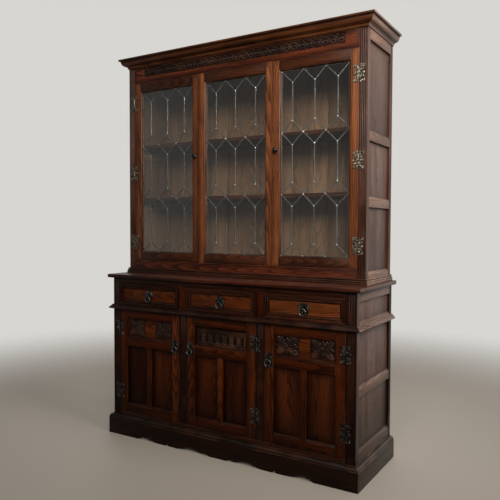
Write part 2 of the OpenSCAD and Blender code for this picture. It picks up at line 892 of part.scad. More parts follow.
// Leaf on the post side with the pin fixed in its two outer knuckles
module jamb_leaf() {
    along_y(-plate_t, -joint) {
        leaf_outline();
        for (s = [-1, 1]) translate([0, s * 14 - 5.5]) square([knuckle_r + 2, 11]);
    }
    translate([0, -axis_out, 0]) {
        cylinder(h = 2 * barrel_z + 3, r = pin_r, center = true, $fn = 24);
        for (s = [-1, 1]) {
            translate([0, 0, s * (barrel_z + 8) / 2])
                cylinder(h = barrel_z - 8, r = knuckle_r, center = true, $fn = 32);
            translate([0, 0, s * (barrel_z + 2.4)]) sphere(2.6, $fn = 24);
        }
    }
}

// Leaf on the door with the middle knuckle, bored for the pin
module door_leaf() {
    difference() {
        union() {
            along_y(-plate_t, 0) {
                leaf_outline();
                translate([0, -knuckle_z]) square([knuckle_r + 2, 2 * knuckle_z]);
            }
            translate([0, -axis_out, 0])
                cylinder(h = 2 * knuckle_z, r = knuckle_r, center = true, $fn = 32);
        }
        translate([0, -axis_out, 0])
            cylinder(h = 2 * knuckle_z + 2, r = pin_r + pin_fit, center = true, $fn = 24);
    }
}

// A leaf at the hinge line of a door, turned to the left where side is -1
module hinge_set(x, y, heights, side) {
    for (z = heights) translate([x, y, z]) mirror([side < 0 ? 1 : 0, 0, 0]) children();
}

// Hinge line of each cupboard door, and the side on which its post stands
cup_side = [-1, 1, 1];
cup_axis = [for (b = [0 : 2]) bay_x[b] + cup_side[b] * (bay_w - door_gap) / 2];

module display_jamb_hinges() {
    color(antique) for (s = [-1, 1])
        hinge_set(s * sash_axis_x, show_y, hinge_at[0], s) jamb_leaf();
}

module cupboard_jamb_hinges() {
    color(antique) for (b = [0 : 2])
        hinge_set(cup_axis[b], face_y, hinge_at[1], cup_side[b]) jamb_leaf();
}

module glazed_door_left_hinges()
    color(antique) hinge_set(-sash_axis_x, show_y, hinge_at[0], 1) door_leaf();
module glazed_door_right_hinges()
    color(antique) hinge_set(sash_axis_x, show_y, hinge_at[0], -1) door_leaf();

// Battens under the display shelves, and the blocks that the closed glazed doors meet
module display_battens_and_stops() {
    color(pine) both_sides() {
        for (z = shelf_z)
            block([disp_wall - batten, show_y + shelf_back + 10, z - joint - batten],
                [disp_wall - joint, disp_board_back - 10, z - joint]);
        translate([(door_x[0] + door_x[1]) / 2, 0, 0])
            block([-20, show_y + frame_t + joint, frieze_z - 12],
                [20, show_y + frame_t + 12, frieze_z + 14]);
    }
}

// Cupboard doors

// Panels of a door, grown to cut their own grooves
module door_panel_set(x, grow) {
    half = door_w / 2 - door_stile;
    y0 = face_y + panel_recess;
    lap = panel_lap + grow;
    block([x - half - lap, y0 - grow, crest_z0 - lap],
        [x + half + lap, y0 + panel_t + grow, crest_z1 + lap]);
    for (s = [-1, 1])
        let (mid = s * (half + muntin_w / 2) / 2, w = (half - muntin_w / 2) / 2 + lap)
            block([x + mid - w, y0 - grow, lower_z0 - lap],
                [x + mid + w, y0 + panel_t + grow, lower_z1 + lap]);
}

// Rail between the stiles, bevelled along its upper edge
module door_rail(x, z0, z1, drop) {
    half = door_w / 2 - door_stile - joint;
    along_x(x - half, x + half) polygon([[face_y, z0], [face_y, z1 - drop],
        [face_y + min(drop, bevel_in), z1], [face_y + door_t, z1], [face_y + door_t, z0]]);
}

module cupboard_frame(b) {
    x = bay_x[b];
    color(oak) difference() {
        union() {
            for (s = [-1, 1]) translate([x + s * (door_w - door_stile) / 2, 0, 0])
                block([-door_stile / 2, face_y, door_foot],
                    [door_stile / 2, face_y + door_t, door_head]);
            door_rail(x, crest_z1, door_head, 0);
            door_rail(x, lower_z1, crest_z0, chamfer);
            door_rail(x, door_foot, lower_z0, chamfer);
            along_x(x - muntin_w / 2, x + muntin_w / 2)
                polygon([[face_y, lower_z0 - chamfer + joint], [face_y + bevel_in, lower_z0 + joint],
                    [face_y + door_t, lower_z0 + joint], [face_y + door_t, lower_z1 - joint],
                    [face_y, lower_z1 - joint]]);
        }
        door_panel_set(x, play / 2);
    }
}

module cupboard_panels(b) {
    color(oak_light) door_panel_set(bay_x[b], 0);
}

module cupboard_door_left_frame() cupboard_frame(0);
module cupboard_door_centre_frame() cupboard_frame(1);
module cupboard_door_right_frame() cupboard_frame(2);
module cupboard_door_left_panels() cupboard_panels(0);
module cupboard_door_centre_panels() cupboard_panels(1);
module cupboard_door_right_panels() cupboard_panels(2);

// Handles

// Pierced outline of a handle plate, w wide, with the pivot at z = 0
module plate_outline(w, up, down) {
    lobe = 7;
    knop = 5;
    spine = max(w / 5, ear_x + ear_t + 1);
    difference() {
        union() {
            translate([-spine, -down + 9]) square([2 * spine, up + down - 18]);
            translate([-w / 2 + lobe, 0]) square([w - 2 * lobe, 8]);
            for (s = [-1, 1]) {
                translate([s * (w / 2 - lobe), 4]) circle(lobe, $fn = 24);
                translate([s * spine, up - knop - 4]) circle(knop, $fn = 24);
                translate([s * spine, -down + knop + 6]) circle(knop, $fn = 24);
            }
            translate([0, up - knop]) circle(knop, $fn = 24);
            translate([0, -down + knop]) circle(knop, $fn = 24);
        }
        for (s = [-1, 1]) {
            translate([s * (w / 2 - lobe), 4]) circle(1.7, $fn = 24);
            translate([s * spine, up - knop - 4]) circle(2.2, $fn = 24);
            translate([s * spine, -down + knop + 6]) circle(2.2, $fn = 24);
        }
    }
}

// Back plate with two ears that hold the ring's pin, the pin at the origin's height
module pull_plate(w, up, down) {
    difference() {
        union() {
            along_y(-plate_t, 0) plate_outline(w, up, down);
            for (s = [-1, 1]) translate([s * (ear_x + ear_t / 2), 0, 0]) {
                block([-ear_t / 2, -pull_out, -ear_r], [ear_t / 2, -plate_t / 2, ear_r]);
                translate([0, -pull_out, 0]) rotate([0, 90, 0])
                    cylinder(h = ear_t, r = ear_r, center = true, $fn = 32);
            }
        }
        translate([0, -pull_out, 0]) rotate([0, 90, 0])
            cylinder(h = 4 * ear_x, r = pin_r + pin_fit, center = true, $fn = 24);
    }
}

// Ring with its cross pin, hanging from the pivot
module pull_ring() {
    translate([0, -pull_out, 0]) {
        rotate([0, 90, 0]) {
            cylinder(h = 2 * (ear_x - play), r = ear_r, center = true, $fn = 32);
            cylinder(h = 2 * (ear_x + ear_t) - 0.4, r = pin_r, center = true, $fn = 24);
        }
        translate([0, 0, -ring_drop]) rotate([90, 0, 0]) rotate_extrude($fn = 48)
            translate([ring_r, 0]) circle(ring_bar, $fn = 24);
    }
}

module at_door_pull(b) {
    translate([bay_x[b] - cup_side[b] * (door_w - door_stile) / 2, face_y, door_pull_z])
        children();
}

module at_drawer_pull(b) {
    translate([bay_x[b], face_y, drawer_pull_z]) children();
}

// Door leaves of the hinges and the handle plate of one cupboard door
module cupboard_ironwork(b) {
    color(antique) {
        hinge_set(cup_axis[b], face_y, hinge_at[1], -cup_side[b]) door_leaf();
        at_door_pull(b) pull_plate(door_plate_w, door_plate_up, door_plate_down);
    }
}

module cupboard_door_left_ironwork() cupboard_ironwork(0);
module cupboard_door_centre_ironwork() cupboard_ironwork(1);
module cupboard_door_right_ironwork() cupboard_ironwork(2);
module cupboard_ring_left() color(antique) at_door_pull(0) pull_ring();
module cupboard_ring_centre() color(antique) at_door_pull(1) pull_ring();
module cupboard_ring_right() color(antique) at_door_pull(2) pull_ring();

// Drawers

module drawer_plate(b) {
    at_drawer_pull(b) pull_plate(drawer_plate_w, field_z[1] - plate_space - drawer_pull_z,
        drawer_pull_z - plate_space - field_z[0]);
}

// Section of the planted moulding, x inwards from the edge and y out from the front
module border_section() {
    flat = 0.46 * border_w;
    square([flat, border_out]);
    square([border_w, 1.5]);
    square([0.8 * border_w, 0.45 * border_out]);
    translate([0.7 * border_w, 0.42 * border_out]) circle(0.4 * border_out, $fn = 24);
}

// One side of the mitred moulding, drawn upright with its outer edge at x = 0
module border_side(span) {
    w = border_w;
    intersection() {
        upright(0, span) mirror([0, 1]) border_section();
        along_y(-border_out - 1, 1)
            polygon([[0, joint], [w, w + joint], [w, span - w - joint], [0, span - joint]]);
    }
}

// Bottom of a drawer, grown to cut its grooves in the sides and the front
module drawer_bottom(inner, grow) {
    x = inner + bottom_lap + grow;
    block([-x, box_front - bottom_lap - grow, bottom_z - grow],
        [x, box_back + grow, bottom_z + bottom_t + grow]);
}

module drawer(b) {
    half = bay_w / 2 - drawer_gap;
    tall = front_z1 - front_z0;
    side_x = half - 0.5;
    inner = side_x - drawer_side_t - joint;
    translate([bay_x[b], 0, 0]) {
        color(oak_light) difference() {
            block([-half, face_y, front_z0], [half, box_front, front_z1]);
            drawer_bottom(inner, play / 2);
        }
        color(oak_dark) translate([0, face_y - joint, 0]) {
            translate([-half, 0, front_z0]) border_side(tall);
            translate([half, 0, front_z0]) mirror([1, 0, 0]) border_side(tall);
            translate([-half, 0, front_z1]) rotate([0, 90, 0]) border_side(2 * half);
            translate([-half, 0, front_z0]) mirror([0, 0, 1]) rotate([0, 90, 0])
                border_side(2 * half);
        }
        color(pine) {
            both_sides() difference() {
                block([side_x - drawer_side_t, box_front + joint, box_z0],
                    [side_x, box_back, box_z1]);
                drawer_bottom(inner, play / 2);
            }
            block([-inner, box_back - drawer_side_t, bottom_z + bottom_t + joint],
                [inner, box_back, box_z1]);
            drawer_bottom(inner, 0);
        }
    }
}

module drawer_left_box() drawer(0);
module drawer_centre_box() drawer(1);
module drawer_right_box() drawer(2);
module drawer_left_plate() color(antique) drawer_plate(0);
module drawer_centre_plate() color(antique) drawer_plate(1);
module drawer_right_plate() color(antique) drawer_plate(2);
module drawer_left_ring() color(antique) at_drawer_pull(0) pull_ring();
module drawer_centre_ring() color(antique) at_drawer_pull(1) pull_ring();
module drawer_right_ring() color(antique) at_drawer_pull(2) pull_ring();

plinth();
base_corner_posts();
base_mullions();
base_face_rails();
base_side_frames();
base_side_panels();
base_back_panel();
base_case_boards();
drawer_runners();
cupboard_shelves();
waist_moulding();
counter_top();
display_foot_moulding();
display_corner_posts();
display_face_rails();
display_side_frames();
display_side_panels();
display_back_boards();
display_case_boards();
display_shelves();
display_battens_and_stops();
fixed_light_frame();
fixed_light_glass();
fixed_light_leading();
cornice();
display_jamb_hinges();
cupboard_jamb_hinges();
base_battens_and_stops();
glazed_door_left_frame();
glazed_door_left_glass();
glazed_door_left_leading();
glazed_door_left_knob();
glazed_door_left_hinges();
glazed_door_right_frame();
glazed_door_right_glass();
glazed_door_right_leading();
glazed_door_right_knob();
glazed_door_right_hinges();
cupboard_door_left_frame();
cupboard_door_left_panels();
cupboard_door_left_ironwork();
cupboard_ring_left();
cupboard_door_centre_frame();
cupboard_door_centre_panels();
cupboard_door_centre_ironwork();
cupboard_ring_centre();
cupboard_door_right_frame();
cupboard_door_right_panels();
cupboard_door_right_ironwork();
cupboard_ring_right();
drawer_left_box();
drawer_left_plate();
drawer_left_ring();
drawer_centre_box();
drawer_centre_plate();
drawer_centre_ring();
drawer_right_box();
drawer_right_plate();
drawer_right_ring();
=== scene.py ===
import json
import math
import random

import bmesh
import bpy
from mathutils import Matrix, Vector, noise

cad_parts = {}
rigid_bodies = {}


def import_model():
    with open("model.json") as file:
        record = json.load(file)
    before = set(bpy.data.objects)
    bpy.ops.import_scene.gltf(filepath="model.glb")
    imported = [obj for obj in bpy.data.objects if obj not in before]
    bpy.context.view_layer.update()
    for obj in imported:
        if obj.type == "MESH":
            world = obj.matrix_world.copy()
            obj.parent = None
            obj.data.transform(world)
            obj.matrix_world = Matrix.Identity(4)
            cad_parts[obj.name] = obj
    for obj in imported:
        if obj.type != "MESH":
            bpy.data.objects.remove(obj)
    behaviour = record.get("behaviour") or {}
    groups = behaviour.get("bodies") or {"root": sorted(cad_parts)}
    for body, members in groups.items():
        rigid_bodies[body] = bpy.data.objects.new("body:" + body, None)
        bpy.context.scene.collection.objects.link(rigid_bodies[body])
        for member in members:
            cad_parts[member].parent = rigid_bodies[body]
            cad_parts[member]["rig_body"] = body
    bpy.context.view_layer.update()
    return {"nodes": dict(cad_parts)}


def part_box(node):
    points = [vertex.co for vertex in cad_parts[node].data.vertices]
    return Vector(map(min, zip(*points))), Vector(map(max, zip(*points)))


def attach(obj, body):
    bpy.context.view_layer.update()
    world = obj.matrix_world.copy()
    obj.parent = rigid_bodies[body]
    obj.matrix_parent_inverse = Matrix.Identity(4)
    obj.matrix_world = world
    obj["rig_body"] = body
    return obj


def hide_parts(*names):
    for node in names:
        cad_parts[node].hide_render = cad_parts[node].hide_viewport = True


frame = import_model()
nodes = frame["nodes"]
mm = 0.001

# planes of the two cases' faces, and the places of pins and pulls on them, in millimetres
layout = {
    "showFace": -90,
    "baseFace": -202,
    "glazedPin": 606.4,
    "glazedHinges": (969.2, 1321.0, 1672.8),
    "cupboardPins": {"left": -604.4, "centre": 186.4, "right": 604.4},
    "cupboardHinges": (222.2, 539.8),
    "pullPlaces": {"left": -253.7, "centre": -164.3, "right": 253.7},
    "pullHeight": 485.2,
    "drawerPlaces": {"left": -418, "centre": 0, "right": 418},
    "drawerPullHeight": 713.5,
}


def fill(tree, node, inputs):
    # an input takes another node's output or a plain value
    for name, value in inputs.items():
        if isinstance(value, bpy.types.NodeSocket):
            tree.links.new(value, node.inputs[name])
        else:
            node.inputs[name].default_value = value


def newNode(tree, kind, place, inputs=None, **settings):
    node = tree.nodes.new("ShaderNode" + kind)
    node.location = place
    for name, value in settings.items():
        setattr(node, name, value)
    fill(tree, node, inputs or {})
    return node


def newGroup(name, inputs, outputs):
    # the inputs come with their kind, and every output is a plain number
    group = bpy.data.node_groups.new(name, "ShaderNodeTree")
    for label, kind in inputs.items():
        group.interface.new_socket(label, in_out="INPUT", socket_type="NodeSocket" + kind)
    for label in outputs:
        group.interface.new_socket(label, in_out="OUTPUT", socket_type="NodeSocketFloat")
    start, end = group.nodes.new("NodeGroupInput"), group.nodes.new("NodeGroupOutput")
    start.location, end.location = (-900, 0), (900, 0)
    return group, start.outputs, end


def useGroup(tree, group, place, **inputs):
    return newNode(tree, "Group", place, inputs, node_tree=group).outputs


def attribute(tree, name, place, kind="Fac"):
    return newNode(tree, "Attribute", place, attribute_name=name).outputs[kind]


def stretched(tree, source, scale, place):
    return newNode(tree, "Mapping", place, {"Vector": source, "Scale": scale}).outputs[0]


def noiseOn(tree, vector, scale, detail, place, roughness=0.5):
    inputs = {"Vector": vector, "Scale": scale, "Detail": detail, "Roughness": roughness}
    return newNode(tree, "TexNoise", place, inputs).outputs["Fac"]


def remap(tree, source, low, high, toLow, toHigh, place):
    inputs = {"Value": source, "From Min": low, "From Max": high, "To Min": toLow, "To Max": toHigh}
    return newNode(tree, "MapRange", place, inputs, interpolation_type="SMOOTHSTEP").outputs["Result"]


def calc(tree, operation, first, second, place):
    return newNode(tree, "Math", place, {0: first, 1: second}, operation=operation).outputs[0]


def blendColour(tree, mode, factor, first, second, place):
    inputs = {0: factor, 6: first, 7: second}
    return newNode(tree, "Mix", place, inputs, data_type="RGBA", blend_type=mode).outputs[2]


def tinted(tree, mode, mask, share, colour, tint, place):
    # a tint laid over a colour by a mask, at part of its strength
    factor = calc(tree, "MULTIPLY", mask, share, (place[0] - 180, place[1] - 250))
    return blendColour(tree, mode, factor, colour, tuple(tint) + (1,), place)


def colourRamp(tree, source, stops, place):
    ramp = newNode(tree, "ValToRGB", place, {0: source})
    for element, (position, colour) in zip(ramp.color_ramp.elements, stops):
        element.position = position
        element.color = tuple(colour) + (1,)
    return ramp.outputs[0]


def bumpOf(tree, height, strength, distance, place, under=None):
    bump = newNode(tree, "Bump", place, {"Height": height, "Strength": strength, "Distance": distance})
    if under:
        fill(tree, bump, {"Normal": under})
    return bump.outputs[0]


def newMaterial(name):
    material = bpy.data.materials.new(name)
    material.use_nodes = True
    material.node_tree.nodes.clear()
    return material, material.node_tree


def surface(tree, inputs, clear=None, share=None):
    # the shader and the output, and between them a share of clear see-through where it is asked for
    shader = newNode(tree, "BsdfPrincipled", (900, 0), inputs).outputs[0]
    if clear:
        through = newNode(tree, "BsdfTransparent", (900, 200), {0: clear}).outputs[0]
        shader = newNode(tree, "MixShader", (1100, 150), {0: share, 1: shader, 2: through}).outputs[0]
    newNode(tree, "OutputMaterial", (1300, 0), {0: shader})


# the figure of a board whose length runs along Z: its growth rings, repeats in a metre across and along it, and
# the steps of each noise between which its pattern comes up
grainLook = {
    "rings": {"Scale": 58, "Distortion": 7, "Detail": 3, "Detail Scale": 0.32, "Detail Roughness": 0.55},
    "ringStretch": (1, 1, 0.12), "cloud": (26, 26, 2.2), "fibre": (260, 260, 5), "pores": (1150, 1150, 42),
    "cloudSteps": (0.3, 0.7), "fibreSteps": (0.28, 0.72), "poreSteps": (0.56, 0.66), "fibreHeight": 0.5,
    # pores are fewer where a ring starts: up to which part of it, and how many there are at its start
    "sparse": (0.5, 0.35),
}


def makeGrainGroup():
    outputs = ("Rings", "Fibre", "Pores", "Cloud", "Height")
    group, start, end = newGroup("oakGrain", {"Vector": "Vector"}, outputs)
    look = grainLook
    board = start["Vector"]
    wave = {**look["rings"], "Vector": stretched(group, board, look["ringStretch"], (-650, 200))}
    rings = newNode(group, "TexWave", (-400, 200), wave, wave_type="RINGS", rings_direction="Z",
                    wave_profile="SAW").outputs["Fac"]
    cloud = noiseOn(group, stretched(group, board, look["cloud"], (-650, 450)), 1, 3, (-400, 450))
    fibre = noiseOn(group, stretched(group, board, look["fibre"], (-650, -100)), 1, 5, (-400, -100), 0.62)
    pores = noiseOn(group, stretched(group, board, look["pores"], (-650, -350)), 1, 2, (-400, -350))
    part, few = look["sparse"]
    often = remap(group, rings, 0, part, few, 1, (-100, 200))
    pits = remap(group, pores, *look["poreSteps"], 0, 1, (-100, -350))
    pore = calc(group, "MULTIPLY", pits, often, (150, -300))
    soft = remap(group, fibre, *look["fibreSteps"], 0, 1, (-100, -100))
    ridges = calc(group, "MULTIPLY", soft, look["fibreHeight"], (150, 0))
    height = calc(group, "SUBTRACT", ridges, pore, (350, 0))
    fill(group, end, {"Rings": rings, "Fibre": soft, "Pores": pore, "Height": height,
                      "Cloud": remap(group, cloud, *look["cloudSteps"], 0, 1, (-100, 450))})
    return group


# the steps of their noise between which patches of wear and painted highlight come up; how cloudy the dark
# glaze and painted shade at a rim is and how far that moves it, in metres; and from which slope on dust lies,
# its patches and how thin it is between them
wearSteps = (0.42, 0.62)
rimShadeLook = {"clouds": 14, "wobble": 0.02}
dustLook = {"upward": (0.55, 1.0), "patches": 22, "steps": (0.35, 0.75), "thin": 0.3}


def makeWearHighlightGroup():
    # rubbed edges and painted highlights: the bevel faces carry 1, and crests of mouldings and raised carving
    # some, broken up by noise
    inputs = {"Edge": "Float", "Patches": "Float", "Vector": "Vector"}
    group, start, end = newGroup("edgeWear", inputs, ("Mask",))
    patch = noiseOn(group, start["Vector"], start["Patches"], 4, (-500, -150))
    worn = remap(group, patch, *wearSteps, 0, 1, (-200, -150))
    fill(group, end, {"Mask": calc(group, "MULTIPLY", start["Edge"], worn, (100, 0))})
    return group


def makeRimShadeGroup():
    # dark glaze and painted shade where a board meets its frame, from its distance to the board's rim
    inputs = {"Middle": "Vector", "Half": "Vector", "Reach": "Float", "Vector": "Vector"}
    group, start, end = newGroup("rimGlaze", inputs, ("Mask",))
    size = newNode(group, "VectorMath", (-650, 0), {0: start["Middle"]}, operation="ABSOLUTE")
    left = newNode(group, "VectorMath", (-450, 0), {0: start["Half"], 1: size.outputs[0]}, operation="SUBTRACT")
    parts = newNode(group, "SeparateXYZ", (-250, 0), {0: left.outputs[0]}).outputs
    near = calc(group, "MINIMUM", parts["X"], parts["Z"], (-50, 0))
    cloud = noiseOn(group, start["Vector"], rimShadeLook["clouds"], 3, (-450, -250))
    swing = calc(group, "SUBTRACT", cloud, 0.5, (-250, -250))
    wobble = calc(group, "MULTIPLY", swing, rimShadeLook["wobble"], (-50, -250))
    ratio = calc(group, "DIVIDE", calc(group, "ADD", near, wobble, (150, 0)), start["Reach"], (350, 0))
    fill(group, end, {"Mask": remap(group, ratio, 0, 1, 1, 0, (550, 0))})
    return group


def makeDustGroup():
    # a little dust on what faces up, thickest in patches
    group, start, end = newGroup("settledDust", {"Vector": "Vector"}, ("Mask",))
    normal = newNode(group, "NewGeometry", (-700, 150)).outputs["Normal"]
    upward = newNode(group, "SeparateXYZ", (-500, 150), {0: normal}).outputs["Z"]
    look = dustLook
    facing = remap(group, upward, *look["upward"], 0, 1, (-300, 150))
    patches = noiseOn(group, start["Vector"], look["patches"], 6, (-500, -150))
    patch = remap(group, patches, *look["steps"], look["thin"], 1, (-300, -150))
    fill(group, end, {"Mask": calc(group, "MULTIPLY", facing, patch, (0, 0))})
    return group


grainGroup = makeGrainGroup()
wearHighlightGroup = makeWearHighlightGroup()
rimShadeGroup = makeRimShadeGroup()
dustGroup = makeDustGroup()

# what all the woods share: how much each pattern counts in the figure, how strongly each effect shows and its
# tint, how the floor's shade darkens the foot of the object, and the relief of the grain in metres
woodLook = {
    "Rings": 0.42, "Fibre": 0.26, "Cloud": 0.32,
    "pores": (0.6, (0.35, 0.28, 0.25)), "glazeTint": (0.30, 0.22, 0.18), "hollow": (0.9, (0.22, 0.17, 0.15)),
    "wear": 0.5, "wearPatches": 9, "dust": (0.04, (0.42, 0.38, 0.34)),
    "footFrom": 0.12, "footTo": 0.36, "footLight": 0.55, "relief": (0.4, 0.0004),
    # what a board's tone does, from the darkest board to the lightest: darker boards are redder
    "toneLight": (0.30, 1.30), "toneSaturation": (1.03, 0.98), "toneHue": (0.493, 0.5),
}
# a wood starts from these values
oakBase = {"figure": (0.22, 0.82), "glaze": 0.3, "reach": 0.02, "roughness": (0.32, 0.5), "gloss": 0.10}
# dark and light of the figure and how far apart they are, rubbed edge and painted highlight, how strong and
# wide the dark glaze and painted shade at a rim is, and how glossy the polish
oakLooks = {
    "oakDark": {"dark": (0.010, 0.0026, 0.0009), "light": (0.042, 0.0110, 0.0030), "worn": (0.15, 0.055, 0.022),
                "figure": (0.18, 0.86), "glaze": 0.45},
    "oakMoulded": {"dark": (0.010, 0.0028, 0.0011), "light": (0.040, 0.0110, 0.0036),
                   "worn": (0.15, 0.060, 0.028), "roughness": (0.30, 0.46), "gloss": 0.13},
    "oakCornice": {"dark": (0.018, 0.0048, 0.0014), "light": (0.088, 0.0270, 0.0066),
                   "worn": (0.20, 0.085, 0.034), "figure": (0.28, 0.76), "roughness": (0.30, 0.46)},
    "oakFrieze": {"dark": (0.018, 0.0042, 0.0014), "light": (0.100, 0.0240, 0.0078),
                  "worn": (0.22, 0.080, 0.034), "figure": (0.28, 0.76), "glaze": 0.6, "reach": 0.022},
    "oakCarved": {"dark": (0.008, 0.0028, 0.0013), "light": (0.023, 0.0081, 0.0035),
                  "worn": (0.068, 0.028, 0.014), "figure": (0.18, 0.86), "glaze": 0.2, "reach": 0.01,
                  "roughness": (0.26, 0.40), "gloss": 0.14},
    "oakDoor": {"dark": (0.017, 0.0038, 0.0007), "light": (0.086, 0.0190, 0.0026), "worn": (0.20, 0.068, 0.018),
                "figure": (0.28, 0.76), "glaze": 0.6, "gloss": 0.07},
    "oakPanel": {"dark": (0.010, 0.0020, 0.0003), "light": (0.044, 0.0092, 0.0012),
                 "worn": (0.15, 0.050, 0.013), "figure": (0.20, 0.84), "glaze": 0.9, "reach": 0.05,
                 "roughness": (0.34, 0.54), "gloss": 0.07},
    "oakDrawer": {"dark": (0.026, 0.0064, 0.0012), "light": (0.132, 0.0335, 0.0060), "worn": (0.28, 0.10, 0.03),
                  "glaze": 0.8, "reach": 0.03, "gloss": 0.08},
    "oakWarm": {"dark": (0.036, 0.0090, 0.0024), "light": (0.156, 0.0505, 0.0145), "worn": (0.30, 0.120, 0.042),
                "figure": (0.24, 0.82), "glaze": 0.6, "reach": 0.022, "gloss": 0.17},
    "oakPost": {"dark": (0.020, 0.0066, 0.0033), "light": (0.074, 0.0265, 0.0135), "worn": (0.25, 0.115, 0.072),
                "figure": (0.22, 0.80), "glaze": 0.2, "reach": 0.01, "roughness": (0.3, 0.46), "gloss": 0.17},
    # paler and greyer than the front, as painted sheen
    "oakSide": {"dark": (0.052, 0.0240, 0.0155), "light": (0.204, 0.1240, 0.0900), "worn": (0.34, 0.225, 0.165),
                "figure": (0.22, 0.80), "reach": 0.03, "roughness": (0.36, 0.55), "gloss": 0.28},
    "oakInside": {"dark": (0.130, 0.0720, 0.0380), "light": (0.275, 0.1620, 0.0900), "worn": (0.36, 0.21, 0.12),
                  "roughness": (0.45, 0.62), "gloss": 0.25},
    "pineInside": {"dark": (0.27, 0.15, 0.07), "light": (0.46, 0.29, 0.15), "worn": (0.6, 0.42, 0.25),
                   "figure": (0.18, 0.86), "roughness": (0.5, 0.7), "gloss": 0.3},
}


def makeOak(name, look):
    look = {**woodLook, **oakBase, **look}
    material, tree = newMaterial(name)
    vector = attribute(tree, "boardCo", (-1500, 200), "Vector")
    tone = attribute(tree, "boardTone", (-1500, -500))
    edge, hollow = attribute(tree, "edgeWear", (-1500, -700)), attribute(tree, "hollow", (-1500, -900))
    grain = useGroup(tree, grainGroup, (-1200, 200), Vector=vector)
    wear = useGroup(tree, wearHighlightGroup, (-1200, -600), Edge=edge, Patches=look["wearPatches"],
                    Vector=vector)["Mask"]
    middle = attribute(tree, "boardMiddle", (-1500, -100), "Vector")
    half = attribute(tree, "boardHalf", (-1500, -300), "Vector")
    rim = useGroup(tree, rimShadeGroup, (-1200, -250), Middle=middle, Half=half, Reach=look["reach"],
                   Vector=vector)["Mask"]
    dust = useGroup(tree, dustGroup, (-1200, -850), Vector=vector)["Mask"]
    rings, fibre, cloud = (calc(tree, "MULTIPLY", grain[part], look[part], (-950, 350 - 160 * row))
                           for row, part in enumerate(("Rings", "Fibre", "Cloud")))
    figure = calc(tree, "ADD", rings, calc(tree, "ADD", fibre, cloud, (-780, 100)), (-650, 250))
    stops = zip(look["figure"], (look["dark"], look["light"]))
    figured = colourRamp(tree, figure, stops, (-500, 250))
    place = newNode(tree, "TexCoord", (-1500, 500)).outputs["Object"]
    height = newNode(tree, "SeparateXYZ", (-1300, 500), {0: place}).outputs["Z"]
    foot = remap(tree, height, look["footFrom"], look["footTo"], look["footLight"], 1, (-1000, 500))
    light = calc(tree, "MULTIPLY", remap(tree, tone, 0, 1, *look["toneLight"], (-500, -50)), foot, (-350, 0))
    board = newNode(tree, "HueSaturation", (-200, 250), {
        "Color": figured, "Value": light,
        "Saturation": remap(tree, tone, 0, 1, *look["toneSaturation"], (-500, -250)),
        "Hue": remap(tree, tone, 0, 1, *look["toneHue"], (-500, -450))}).outputs[0]
    colour = tinted(tree, "MULTIPLY", grain["Pores"], look["pores"][0], board, look["pores"][1], (0, 250))
    # dark glaze and painted shade towards each board's rim, painted shade in the hollows, and rubbed wear and
    # painted highlight on edges and crests
    colour = tinted(tree, "MULTIPLY", rim, look["glaze"], colour, look["glazeTint"], (180, 250))
    colour = tinted(tree, "MULTIPLY", hollow, look["hollow"][0], colour, look["hollow"][1], (360, 250))
    colour = tinted(tree, "MIX", wear, look["wear"], colour, look["worn"], (540, 250))
    colour = tinted(tree, "MIX", dust, look["dust"][0], colour, look["dust"][1], (720, 250))
    sheen = calc(tree, "ADD", calc(tree, "MULTIPLY", grain["Fibre"], 0.5, (250, -450)),
                 calc(tree, "MULTIPLY", grain["Pores"], 0.5, (250, -650)), (450, -550))
    surface(tree, {"Base Color": colour, "Roughness": remap(tree, sheen, 0, 1, *look["roughness"], (650, -450)),
                   "Normal": bumpOf(tree, grain["Height"], *look["relief"], (650, -750)),
                   "Specular IOR Level": look["gloss"]})
    return material


# the colours of a metal on its dark and light patches and on its edges, and how deep its hammer marks are in
# metres
metalLooks = {
    "antiqueBrass": {"low": (0.020, 0.016, 0.012), "high": (0.20, 0.170, 0.120), "edge": (0.68, 0.62, 0.50),
                     "roughness": (0.28, 0.46), "metallic": 0.9, "hammer": 0.0009},
    "darkBrass": {"low": (0.006, 0.0055, 0.005), "high": (0.038, 0.034, 0.030), "edge": (0.30, 0.275, 0.245),
                  "roughness": (0.22, 0.42), "metallic": 0.9, "hammer": 0.0010},
    "rubbedRing": {"low": (0.020, 0.018, 0.017), "high": (0.14, 0.130, 0.115), "edge": (0.50, 0.47, 0.42),
                   "roughness": (0.38, 0.54), "metallic": 0.95, "hammer": 0.0007},
    "leadCame": {"low": (0.065, 0.066, 0.064), "high": (0.145, 0.145, 0.138), "edge": (0.26, 0.26, 0.25),
                 "roughness": (0.4, 0.6), "metallic": 0.8, "hammer": 0.0001},
    "solder": {"low": (0.45, 0.46, 0.47), "high": (0.72, 0.73, 0.74), "edge": (0.85, 0.85, 0.85),
               "roughness": (0.2, 0.38), "metallic": 0.8, "hammer": 0.0002},
}
# what all the metals share: patches and pits in repeats to a metre, how strongly the edges are rubbed, and the
# tint of patina in the sheets' hollows and of painted shade on a plate's flat
metalWork = {
    "patina": 160, "patinaSteps": (0.42, 0.64), "roughSteps": (0.3, 0.7), "wear": 0.7, "wearPatches": 110,
    "pits": 900, "pitRelief": (0.3, 0.0002), "hammerMarks": 210, "hollowTint": (0.14, 0.12, 0.10),
}


